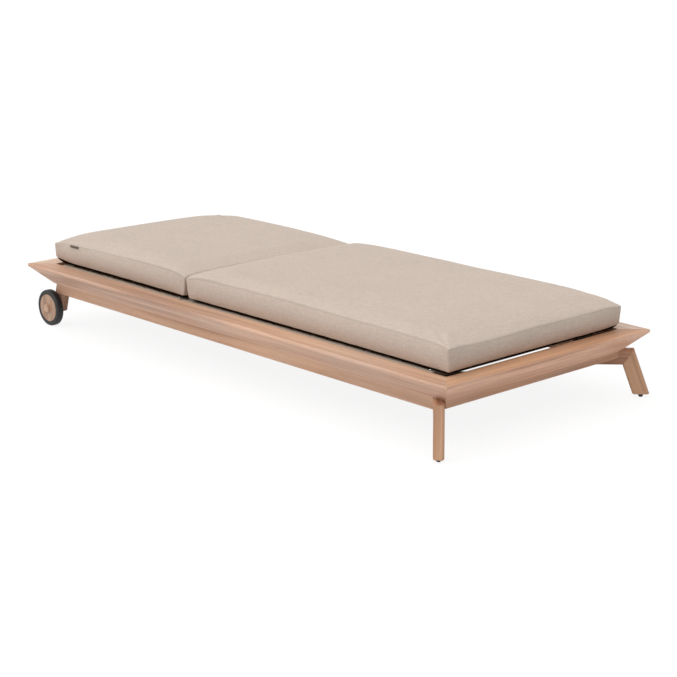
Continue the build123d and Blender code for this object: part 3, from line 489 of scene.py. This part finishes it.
# Height of the top seam above the rim along each edge: (place along the edge, height)
SEAT_SEAMS = {
    "near": (
        (SEAT_HEAD_X, 0.070), (-0.18, 0.076), (-0.13, 0.082), (0.0, 0.085), (0.25, 0.0875),
        (0.5, 0.085), (0.8, 0.0845), (0.89, 0.082), (SEAT_FOOT_X, 0.078),
    ),
    "far": (
        (SEAT_HEAD_X, 0.072), (-0.14, 0.078), (0.0, 0.083), (0.3, 0.088),
        (0.6, 0.092), (0.8, 0.090), (0.89, 0.084), (SEAT_FOOT_X, 0.072),
    ),
    "head": (
        (-HALF_RUN, 0.070), (-0.32, 0.074), (-0.2, 0.078), (0.0, 0.081), (0.2, 0.078), (HALF_RUN, 0.072),
    ),
    "foot": ((-HALF_RUN, 0.078), (-0.3, 0.074), (0.0, 0.0725), (0.3, 0.072), (HALF_RUN, 0.072)),
}
BACK_SEAMS = {
    "near": (
        (BACK_HEAD_X, 0.071), (-0.88, 0.077), (-0.8, 0.079), (-0.6, 0.083),
        (-0.37, 0.085), (-0.29, 0.083), (-0.24, 0.079), (BACK_FOOT_X, 0.073),
    ),
    "far": (
        (BACK_HEAD_X, 0.066), (-0.88, 0.072), (-0.7, 0.077),
        (-0.45, 0.077), (-0.3, 0.071), (BACK_FOOT_X, 0.065),
    ),
    "head": (
        (-HALF_RUN, 0.071), (-0.30, 0.080), (-0.15, 0.082), (0.0, 0.080), (0.25, 0.073), (HALF_RUN, 0.066),
    ),
    "foot": (
        (-HALF_RUN, 0.073), (-0.32, 0.075), (-0.2, 0.077), (0.0, 0.077), (0.2, 0.073), (HALF_RUN, 0.065),
    ),
}


class Cushion(NamedTuple):
    """What sets one cushion apart. Corners come in the order near head, near foot, far head, far foot."""

    # Ends of its outline, and the one that meets the other cushion
    head_x: float
    foot_x: float
    joined_x: float
    # Middle of its top, and how far the crown runs in from each end before it is level
    top: float
    head_run: float
    foot_run: float
    # Top seams, and the rise just inside them
    seams: dict
    brow: float
    # Lower seam above the rim, and how much higher it is at each corner
    low: float
    lifts: tuple
    # How far each corner reaches out, and how far each lower corner is drawn in along the length
    ears: tuple
    draws: tuple


SEAT = Cushion(
    head_x=SEAT_HEAD_X,
    foot_x=SEAT_FOOT_X,
    joined_x=SEAT_HEAD_X,
    top=SEAT_TOP,
    head_run=0.30,
    foot_run=0.45,
    seams=SEAT_SEAMS,
    brow=0.010,
    low=0.010,
    lifts=(0.001, 0.001, 0.001, 0.005),
    ears=(0.0, 0.0015, 0.0, 0.0012),
    draws=(0.012, 0.0, 0.006, 0.0),
)
BACK = Cushion(
    head_x=BACK_HEAD_X,
    foot_x=BACK_FOOT_X,
    joined_x=BACK_FOOT_X,
    top=BACK_TOP,
    head_run=0.30,
    foot_run=0.30,
    seams=BACK_SEAMS,
    brow=0.009,
    low=0.013,
    lifts=(0.008, 0.001, 0.007, 0.001),
    ears=(-0.0005, 0.0, 0.002, 0.0),
    draws=(-0.005, 0.012, 0.0, 0.006),
)

# Rows of the wall from the lower seam to the upper one: share of the height, and how far out the
# row stands in the middle of a side and at a corner, where the wall is straighter
WALL = (
    (0.0, -0.009, -0.0065),
    (0.06, -0.0055, -0.0050),
    (0.14, -0.0030, -0.0040),
    (0.26, -0.0012, -0.0031),
    (0.38, -0.0003, -0.0024),
    (0.5, 0.0, -0.0018),
    (0.62, -0.0002, -0.0012),
    (0.74, -0.0008, -0.0007),
    (0.86, -0.0019, -0.0003),
    (0.955, -0.0033, 0.0),
    (1.0, -0.0040, 0.0),
)
# How far the whole wall stands out, and how it is pressed flat where two cushions meet
BULGE = 0.002
JOIN_REACH = 0.03
JOIN_PRESS_SHARE = 0.7

# Grid over a panel: narrow steps beside its edges, then even ones
EDGE_STEPS = (0.003, 0.003, 0.004, 0.005, 0.006, 0.007)
GRID_STEP = 0.0095

# Outline: how far the ends and the sides are drawn in at their middles, and the corners' radius
ENDS_DRAWN_IN = 0.002
SIDES_DRAWN_IN = 0.004
CORNER_RADIUS = 0.004

# How far these die away from an edge or a corner
EDGE_REACH = 0.02
CORNER_REACH = 0.03
LIFT_REACH = 0.05
DRAW_REACH = 0.055

# Runs of the brow, and of the underside's curve from the seam down to just above the deck
BROW_RUN = 0.02
UNDER_RUN_ENDS = 0.04
UNDER_RUN_SIDES = 0.036
DECK_GAP = 0.0005

# Seams lie in a groove this deep, and their lines of painted shade are this wide
GROOVE = 0.0012
SEAM_SHADE_WIDTH = 0.0026

# Part of a lower corner's draw that the whole wall shares, and the part of the wall below the
# upper seam over which it fades out
WALL_DRAW_SHARE = 0.15
WALL_DRAW_END_SHARE = 0.12

# The cloth simulation holds the seams, and points this near to the joined end and to the deck
HELD_AT_JOIN = 0.012
HELD_ON_DECK = 0.004


def rise(gap, run):
    """Quarter-round rise from nought at an edge to one at the end of its run."""
    share = np.clip(gap / run, 0, 1)
    return np.sqrt(1 - (1 - share) ** 2)


def swelling(gap, run):
    """Slow parabolic rise from nought at an edge to one at the end of its run."""
    share = np.clip(gap / run, 0, 1)
    return 1 - (1 - share) ** 2


def bell(gap, reach):
    """One at no gap, fading out on both sides."""
    return np.exp(-((gap / reach) ** 2))


def curve(points, at):
    """Smooth line through a few (place, height) points."""
    places = np.array([place for place, _ in points])
    heights = np.array([height for _, height in points])
    slopes = np.gradient(heights, places)
    start = np.clip(np.searchsorted(places, at, side="right") - 1, 0, len(places) - 2)
    end = start + 1
    width = places[end] - places[start]
    share = np.clip((at - places[start]) / width, 0, 1)
    start_height = (1 + 2 * share) * (1 - share) ** 2
    start_slope = share * (1 - share) ** 2
    end_height = share * share * (3 - 2 * share)
    end_slope = share * share * (share - 1)
    return (
        start_height * heights[start]
        + start_slope * width * slopes[start]
        + end_height * heights[end]
        + end_slope * width * slopes[end]
    )


def seam_level(cushion, x, y):
    """Height of the top seam over the whole plan, blended from its height along the four edges."""
    seams = cushion.seams
    along = (x - cushion.head_x) / (cushion.foot_x - cushion.head_x)
    across = (y + HALF_RUN) / (2 * HALF_RUN)
    sides = (1 - across) * curve(seams["near"], x) + across * curve(seams["far"], x)
    ends = (1 - along) * curve(seams["head"], y) + along * curve(seams["foot"], y)
    near_head, far_head = seams["head"][0][1], seams["head"][-1][1]
    near_foot, far_foot = seams["foot"][0][1], seams["foot"][-1][1]
    corners = (
        (1 - along) * (1 - across) * near_head
        + along * (1 - across) * near_foot
        + (1 - along) * across * far_head
        + along * across * far_foot
    )
    return RIM_TOP + sides + ends - corners


def grid_places(low, high):
    """Places of grid lines from edge to edge."""
    edge = np.cumsum(EDGE_STEPS)
    count = int(round((high - low - 2 * edge[-1]) / GRID_STEP))
    middle = np.linspace(low + edge[-1], high - edge[-1], count + 1)[1:-1]
    return np.concatenate(([low], low + edge, middle, high - edge[::-1], [high]))


class Plan:
    """Grid of points over a cushion, seen from above, and where each lies among its edges."""

    def __init__(self, cushion):
        self.head_x, self.foot_x = cushion.head_x, cushion.foot_x
        lengthwise = grid_places(self.head_x, self.foot_x)
        crosswise = grid_places(-HALF_RUN, HALF_RUN)
        self.rows, self.columns = len(lengthwise), len(crosswise)
        self.x, self.y = np.meshgrid(lengthwise, crosswise, indexing="ij")
        self.middle = (self.head_x + self.foot_x) / 2
        self.side_x, self.side_y = np.sign(self.x - self.middle), np.sign(self.y)
        self.gap_x = np.minimum(self.x - self.head_x, self.foot_x - self.x)
        self.gap_y = HALF_RUN - np.abs(self.y)

    def at_corners(self, values, reach):
        """One value spread from each corner, in the order near head, near foot, far head, far foot."""
        spread = np.exp(-((self.gap_x / reach) ** 2) - (self.gap_y / reach) ** 2)
        total = np.zeros_like(self.x)
        for value, side_x, side_y in zip(values, (-1, 1, -1, 1), (-1, -1, 1, 1)):
            total += value * spread * (self.side_x == side_x) * (self.side_y == side_y)
        return total

    def outline(self, ears):
        """Places of the grid's points, drawn in between the corners, rounded at them and reaching out."""
        length = self.foot_x - self.head_x
        along = (2 * self.x - self.head_x - self.foot_x) / length
        across = self.y / HALF_RUN
        x = self.x - ENDS_DRAWN_IN * (1 - across * across) * along
        y = self.y - SIDES_DRAWN_IN * (1 - along * along) * across
        near_end = np.clip((np.abs(x - self.middle) - (length / 2 - CORNER_RADIUS)) / CORNER_RADIUS, 0, 1)
        near_side = np.clip((np.abs(y) - (HALF_RUN - CORNER_RADIUS)) / CORNER_RADIUS, 0, 1)
        x = x - self.side_x * CORNER_RADIUS * near_end * (1 - np.sqrt(1 - near_side * near_side / 2))
        y = y - self.side_y * CORNER_RADIUS * near_side * (1 - np.sqrt(1 - near_end * near_end / 2))
        reach = self.at_corners(ears, CORNER_REACH)
        return x + reach * self.side_x, y + reach * self.side_y

    def panel(self, x, y, level, shift):
        """Points of a panel, its edges moved outward by a shift that dies away inwards."""
        x = x + self.side_x * shift * np.exp(-self.gap_x / EDGE_REACH)
        y = y + self.side_y * shift * np.exp(-self.gap_y / EDGE_REACH)
        return np.stack((x, y, level), axis=-1).reshape(-1, 3)

    def edge_loop(self):
        """Numbers of the grid's outer points, in order round it: near side, foot, far side and head."""
        last_row, last_column = self.rows - 1, self.columns - 1
        near = [row * self.columns for row in range(self.rows)]
        foot = [last_row * self.columns + column for column in range(1, self.columns)]
        far = [row * self.columns + last_column for row in range(last_row - 1, -1, -1)]
        head = list(range(last_column - 1, 0, -1))
        return np.array(near + foot + far + head)

    def edge_lines(self, points):
        """A panel's points along its near, far, head and foot edges."""
        grid = points.reshape(self.rows, self.columns, 3)
        return grid[:, 0].copy(), grid[:, -1].copy(), grid[0].copy(), grid[-1].copy()


def top_level(cushion, plan):
    """Height of the top panel: the seam's level, a brow inside it and a crown."""
    level = seam_level(cushion, plan.x, plan.y)
    brow = cushion.brow * rise(plan.gap_x, BROW_RUN) * rise(plan.gap_y, BROW_RUN)
    crown = (cushion.top - level - cushion.brow) * swelling(plan.gap_y, HALF_RUN)
    crown = crown * swelling(plan.x - cushion.head_x, cushion.head_run)
    crown = crown * swelling(cushion.foot_x - plan.x, cushion.foot_run)
    return level + brow + crown


def under_level(cushion, plan):
    """Height of the underside: the lower seam, curving down to where it rests on the deck."""
    seam = RIM_TOP + cushion.low + plan.at_corners(cushion.lifts, LIFT_REACH)
    drop = seam - DECK_TOP - DECK_GAP
    return seam - drop * rise(plan.gap_x, UNDER_RUN_ENDS) * rise(plan.gap_y, UNDER_RUN_SIDES)


def panel_faces(plan, start, upward):
    """Quads over a panel whose points begin at a number."""
    faces = []
    for row in range(plan.rows - 1):
        for column in range(plan.columns - 1):
            first = start + row * plan.columns + column
            next_row = first + plan.columns
            if upward:
                faces.append((first, next_row, next_row + 1, first + 1))
            else:
                faces.append((first, first + 1, next_row + 1, next_row))
    return faces


def band_faces(lower, upper):
    """Quads between two rings of points."""
    faces = []
    count = len(lower)
    for first in range(count):
        second = (first + 1) % count
        faces.append((lower[first], lower[second], upper[second], upper[first]))
    return faces


class Form(NamedTuple):
    """A cushion's mesh, with the points that the simulation holds and its seams' lines."""

    points: np.ndarray
    faces: list
    under_faces: list
    held: np.ndarray
    top_lines: tuple
    low_lines: tuple


def cushion_form(cushion):
    """Closed form of a top panel, a border and an underside."""
    plan = Plan(cushion)
    joined = bell(plan.x - cushion.joined_x, JOIN_REACH)
    straight = plan.at_corners((1, 1, 1, 1), CORNER_REACH)
    wall = [
        BULGE * (1 - joined) + (side + (corner - side) * straight) * (1 - JOIN_PRESS_SHARE * joined)
        for _, side, corner in WALL
    ]
    draw = -plan.side_x * plan.at_corners(cushion.draws, DRAW_REACH)
    x, y = plan.outline(cushion.ears)
    top = plan.panel(x, y, top_level(cushion, plan), wall[-1])
    low = plan.panel(x + draw, y, under_level(cushion, plan), wall[0])

    loop = plan.edge_loop()
    outline = np.stack((x, y), axis=-1).reshape(-1, 2)[loop]
    run = np.roll(outline, -1, axis=0) - np.roll(outline, 1, axis=0)
    outward = np.stack((run[:, 1], -run[:, 0]), axis=-1)
    outward /= np.linalg.norm(outward, axis=1)[:, None]
    rings = []
    for (share, _, _), place in zip(WALL[1:-1], wall[1:-1]):
        ring = low[loop] + (top[loop] - low[loop]) * share
        ring[:, :2] = outline + outward * place.ravel()[loop][:, None]
        whole_wall = WALL_DRAW_SHARE * min(1, (1 - share) / WALL_DRAW_END_SHARE)
        ring[:, 0] += draw.ravel()[loop] * (whole_wall + (1 - WALL_DRAW_SHARE) * (1 - share) ** 2)
        rings.append(ring)
    groove = GROOVE * (1 - JOIN_PRESS_SHARE * joined.ravel()[loop])
    for points in (top, low):
        ring = points[loop]
        ring[:, :2] -= outward * groove[:, None]
        points[loop] = ring

    points = np.concatenate([top, low] + rings)
    low_start, ring_start = len(top), 2 * len(top)
    numbers = [loop + low_start]
    numbers += [np.arange(len(loop)) + ring_start + ring * len(loop) for ring in range(len(rings))]
    numbers += [loop]
    numbers = [ring.tolist() for ring in numbers]
    faces = panel_faces(plan, 0, upward=True)
    for lower, upper in zip(numbers, numbers[1:]):
        faces += band_faces(lower, upper)
    held = np.abs(points[:, 0] - cushion.joined_x) < HELD_AT_JOIN
    held[low_start:ring_start] |= low[:, 2] < DECK_TOP + HELD_ON_DECK
    held[numbers[0] + numbers[-1]] = True
    return Form(
        points,
        faces,
        panel_faces(plan, low_start, upward=False),
        np.nonzero(held)[0],
        plan.edge_lines(top),
        plan.edge_lines(low),
    )


# Cushion meshes


def mesh_object(name, points, faces):
    mesh = bpy.data.meshes.new(name)
    mesh.from_pydata([tuple(point) for point in points], [], faces)
    mesh.update()
    obj = bpy.data.objects.new(name, mesh)
    scene.collection.objects.link(obj)
    return obj


def read_points(mesh, field="co"):
    flat = np.empty(len(mesh.vertices) * 3)
    mesh.vertices.foreach_get(field, flat)
    return flat.reshape(-1, 3)


def write_points(obj, points):
    obj.data.vertices.foreach_set("co", points.ravel())
    obj.data.update()


# Pressure in the cushions, the most that a point may move in metres, and the simulation's frames
PRESSURE = 2.5
PUFF_LIMIT = 0.006
CLOTH_FRAMES = 20


def puff(obj, held):
    """Blows the cover up gently as cloth, and applies the result to the mesh."""
    start = read_points(obj.data)
    group = obj.vertex_groups.new(name="held")
    group.add(held.tolist(), 1.0, "REPLACE")
    modifier = obj.modifiers.new("cloth", "CLOTH")
    settings = modifier.settings
    settings.quality = 5
    settings.mass = 0.3
    settings.tension_stiffness = 15
    settings.compression_stiffness = 8
    settings.shear_stiffness = 5
    settings.bending_stiffness = 0.4
    settings.use_pressure = True
    settings.uniform_pressure_force = PRESSURE
    settings.vertex_group_mass = "held"
    settings.effector_weights.gravity = 0.0
    modifier.collision_settings.use_collision = False
    for step in range(1, CLOTH_FRAMES + 1):
        scene.frame_set(step)
    evaluated = obj.evaluated_get(bpy.context.evaluated_depsgraph_get())
    moved = read_points(evaluated.data) - start
    obj.modifiers.remove(modifier)
    scene.frame_set(1)
    length = np.linalg.norm(moved, axis=1)
    scale = np.minimum(1.0, PUFF_LIMIT / np.maximum(length, 1e-9))
    write_points(obj, start + moved * scale[:, None])
    obj.vertex_groups.clear()


def subdivide(obj):
    modifier = obj.modifiers.new("smooth", "SUBSURF")
    modifier.levels = 1
    modifier.render_levels = 1
    with bpy.context.temp_override(object=obj, active_object=obj, selected_objects=[obj]):
        bpy.ops.object.modifier_apply(modifier="smooth")


# Puckers: their depth, how far they run from a seam, and the bands of the panels and of the wall
# that they lie in
PUCKER = 0.0006
PUCKER_REACH = 0.035
PANEL_BAND = 0.03
WALL_BAND = 0.012

# How much deeper they are at the near end of the junction, and where they get deeper
GATHER = 0.0012
GATHER_REACH = 0.11
GATHER_START_Y = 0.30
GATHER_FULL_Y = 0.35

# Noise of the puckers: waves per metre along the seam and up the wall, and the noise's layer
LONG_WAVE = (34, 9, 3.7)
SHORT_WAVE = (80, 20, 9.1)
SHORT_WAVE_SHARE = 0.5
# The ends read the noise this far from the sides
END_OFFSET = 3


def wave(pattern, along, height):
    """Level of one noise at a place along the seam and up the wall."""
    per_metre_along, per_metre_up, layer = pattern
    return noise.noise((along * per_metre_along, height * per_metre_up, layer))


def pucker(obj, cushion):
    """Small uneven puckers that run out from the seams, stronger where two cushions meet."""
    points = read_points(obj.data)
    normals = read_points(obj.data, "normal")
    x, y, z = points.T
    end_gap = np.minimum(x - cushion.head_x, cushion.foot_x - x)
    side_gap = HALF_RUN - np.abs(y)
    edge = np.minimum(end_gap, side_gap)
    upper = np.abs(z - seam_level(cushion, x, y))
    lower = np.abs(z - RIM_TOP - cushion.low)
    reach = np.where(edge < WALL_BAND, np.minimum(upper, lower), edge)
    near_side = np.clip((-y - GATHER_START_Y) / (GATHER_FULL_Y - GATHER_START_Y), 0, 1)
    depth = PUCKER + GATHER * bell(x - cushion.joined_x, GATHER_REACH) * near_side
    for i in np.nonzero((edge < PANEL_BAND) & (reach < PUCKER_REACH))[0]:
        along = x[i] if side_gap[i] < end_gap[i] else y[i] + END_OFFSET
        height = wave(LONG_WAVE, along, z[i]) + SHORT_WAVE_SHARE * wave(SHORT_WAVE, along, z[i])
        points[i] += normals[i] * height * depth[i] * (1 - reach[i] / PUCKER_REACH)
    write_points(obj, points)


# How much fainter a seam's line of painted shade is where two cushions meet, and how strong the corners'
# lines of painted shade are
JOIN_FADE_SHARE = 0.6
JOIN_FADE_REACH = 0.012
CORNER_SHADE_SHARE = 0.7


def mark_seam_shade(obj, cushion, form):
    """Stores how near each point is to a seam, for the painted shade along the cloth's seams."""
    x, y, z = read_points(obj.data).T
    near = np.zeros_like(x)
    for side, line in enumerate(form.top_lines):
        along, across, axis = (x, y, 0) if side < 2 else (y, x, 1)
        gap = across - np.interp(along, line[:, axis], line[:, 1 - axis])
        gap = np.hypot(gap, z - np.interp(along, line[:, axis], line[:, 2]))
        near = np.maximum(near, bell(gap, SEAM_SHADE_WIDTH))
    near *= 1 - JOIN_FADE_SHARE * bell(x - cushion.joined_x, JOIN_FADE_REACH)
    for top_line, low_line in zip(form.top_lines[:2], form.low_lines[:2]):
        for high, low in ((top_line[0], low_line[0]), (top_line[-1], low_line[-1])):
            share = np.clip((z - low[2]) / (high[2] - low[2]), 0, 1)
            gap = np.hypot(x - low[0] - (high[0] - low[0]) * share, y - low[1] - (high[1] - low[1]) * share)
            near = np.maximum(near, CORNER_SHADE_SHARE * bell(gap, SEAM_SHADE_WIDTH) * (z > low[2]))
    layer = obj.data.attributes.new("seam", "FLOAT", "POINT")
    layer.data.foreach_set("value", near.astype(np.float32))


def make_cushion(name, node, body, cushion):
    """Builds a cushion in place of its CAD node, and lets it ride on its body."""
    form = cushion_form(cushion)
    obj = mesh_object(name, form.points, form.faces + form.under_faces)
    obj.data.materials.append(linen)
    obj.data.materials.append(underside_cloth_painted_shade)
    materials = [0] * len(form.faces) + [1] * len(form.under_faces)
    obj.data.polygons.foreach_set("material_index", materials)
    puff(obj, form.held)
    subdivide(obj)
    pucker(obj, cushion)
    mark_seam_shade(obj, cushion, form)
    obj.data.shade_smooth()
    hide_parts(node)
    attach(obj, body)


make_cushion("seat_pad", "seat_cushion", "frame", SEAT)
make_cushion("back_pad", "back_cushion", "back_cushion", BACK)


# Ribbon tab in the near seam of the back cushion

TAB_HEAD_X = -0.840
TAB_FOOT_X = -0.793
TAB_DROP = 0.006
TAB_STAND = 0.0022
TAB_STEPS = 12
# Stand of the tab's ends, as a share of its stand in the middle
TAB_END_SHARE = 0.35
# Gap behind the tab
TAB_GAP = 0.0002
# How far its back reaches above the seam and below its front, and where its front starts below the seam
TAB_FOLD = 0.001
TAB_FRONT_START = 0.0005
# Points round the ribbon at each step
TAB_RING = 4


def ribbon_tab():
    """Plain folded ribbon, bowed out a little between its ends."""
    points, faces = [], []
    back = -HALF_RUN - TAB_GAP
    for step in range(TAB_STEPS + 1):
        share = step / TAB_STEPS
        x = TAB_HEAD_X + (TAB_FOOT_X - TAB_HEAD_X) * share
        z = RIM_TOP + float(curve(BACK_SEAMS["near"], np.array([x]))[0])
        front = back - TAB_STAND * (TAB_END_SHARE + (1 - TAB_END_SHARE) * sin(pi * share))
        points += [
            (x, back, z + TAB_FOLD),
            (x, front, z - TAB_FRONT_START),
            (x, front, z - TAB_DROP),
            (x, back, z - TAB_DROP - TAB_FOLD),
        ]
    for step in range(TAB_STEPS):
        ring = [step * TAB_RING + corner for corner in range(TAB_RING)]
        next_ring = [number + TAB_RING for number in ring]
        for corner in range(TAB_RING):
            other = (corner + 1) % TAB_RING
            faces.append((ring[corner], next_ring[corner], next_ring[other], ring[other]))
    faces.append(tuple(range(TAB_RING)))
    faces.append(tuple(TAB_STEPS * TAB_RING + corner for corner in reversed(range(TAB_RING))))
    return mesh_object("seam_tab", points, faces)


tab = ribbon_tab()
tab.data.materials.append(tab_cloth)
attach(tab, "back_cushion")


# Studio

FLOOR_REACH = 60.0
WHITE = (1, 1, 1)
# The floor's own tone, and the darker one that is seen under its glow: with the glow it looks
# white and keeps the shadow
FLOOR_TONE = (0.75, 0.75, 0.75)
FLOOR_SEEN_TONE = (0.14, 0.14, 0.14)
FLOOR_GLOW = 0.89
WORLD_LIGHT = 0.35
WORLD_SEEN = 1.0


def seen_share(tree):
    """One for rays from the camera, from gloss and through glass, and nought for all others."""
    rays = tree.nodes.new("ShaderNodeLightPath").outputs
    seen = rays["Is Camera Ray"]
    for ray in ("Is Glossy Ray", "Is Transmission Ray"):
        either = tree.nodes.new("ShaderNodeMath")
        either.operation = "MAXIMUM"
        tree.links.new(seen, either.inputs[0])
        tree.links.new(rays[ray], either.inputs[1])
        seen = either.outputs[0]
    return seen


def studio_floor():
    """Plain floor that looks white and keeps the object's shadow."""
    corners = [(x, y, 0) for x, y in ((-1, -1), (1, -1), (1, 1), (-1, 1))]
    floor = mesh_object("floor", corners, [(0, 1, 2, 3)])
    floor.scale = (FLOOR_REACH, FLOOR_REACH, 1)
    t = Tree("studio_floor")
    seen = seen_share(t)
    t.give("Base Color", t.mix(seen, FLOOR_TONE, FLOOR_SEEN_TONE))
    t.give("Roughness", 0.9)
    t.give("Specular IOR Level", 0.0)
    t.give("Emission Color", WHITE)
    t.give("Emission Strength", t.math("MULTIPLY", seen, FLOOR_GLOW))
    floor.data.materials.append(t.mat)
    return floor


def studio_world():
    """Even light on the object, in front of a white background."""
    world = bpy.data.worlds.new("studio")
    world.use_nodes = True
    tree = world.node_tree
    strength = tree.nodes.new("ShaderNodeMapRange")
    strength.inputs["To Min"].default_value = WORLD_LIGHT
    strength.inputs["To Max"].default_value = WORLD_SEEN
    tree.links.new(seen_share(tree), strength.inputs["Value"])
    background = tree.nodes["Background"]
    background.inputs["Color"].default_value = (*WHITE, 1)
    tree.links.new(strength.outputs["Result"], background.inputs["Strength"])
    return world


def soft_sun(name, toward, degrees, strength):
    """Broad soft light from far away, as from a large diffuser."""
    data = bpy.data.lights.new(name, "SUN")
    data.angle = radians(degrees)
    data.energy = strength
    light = bpy.data.objects.new(name, data)
    light.rotation_euler = Vector(toward).to_track_quat("Z", "Y").to_euler()
    scene.collection.objects.link(light)


floor = studio_floor()
scene.world = studio_world()
soft_sun("key", toward=(-0.05, -0.30, 0.94), degrees=90, strength=2.09)
soft_sun("fill", toward=(-0.45, -0.85, 0.3), degrees=60, strength=0.30)


# Camera, as fitted to the photograph

# The photograph's width and height, the camera's focal length and the point it looks along, in pixels
FRAME_PIXELS = 677
FOCAL_PIXELS = 1793.9
CENTRE_PIXEL_X = 354.12
CENTRE_PIXEL_Y = 339.96
# The sensor's width in millimetres, as Blender has it
SENSOR_WIDTH = 36.0
# The view's angles, and its distance from a target, in metres
AZIMUTH = radians(46.864)
ELEVATION = radians(15.400)
ROLL = radians(0.052)
DISTANCE = 5.2103
TARGET = Vector((0.4893, -0.2927, RIM_TOP))


def fitted_camera():
    """Camera at the photograph's viewing angle and with its framing."""
    data = bpy.data.cameras.new("camera")
    data.sensor_width = SENSOR_WIDTH
    data.lens = FOCAL_PIXELS / FRAME_PIXELS * SENSOR_WIDTH
    data.shift_x = -(CENTRE_PIXEL_X - FRAME_PIXELS / 2) / FRAME_PIXELS
    data.shift_y = (CENTRE_PIXEL_Y - FRAME_PIXELS / 2) / FRAME_PIXELS
    data.clip_end = FLOOR_REACH
    camera = bpy.data.objects.new("camera", data)
    away = Vector((sin(AZIMUTH) * cos(ELEVATION), -cos(AZIMUTH) * cos(ELEVATION), sin(ELEVATION)))
    camera.location = TARGET + away * DISTANCE
    camera.rotation_mode = "QUATERNION"
    camera.rotation_quaternion = away.to_track_quat("Z", "Y") @ Matrix.Rotation(ROLL, 4, "Z").to_quaternion()
    scene.collection.objects.link(camera)
    return camera


scene.camera = fitted_camera()
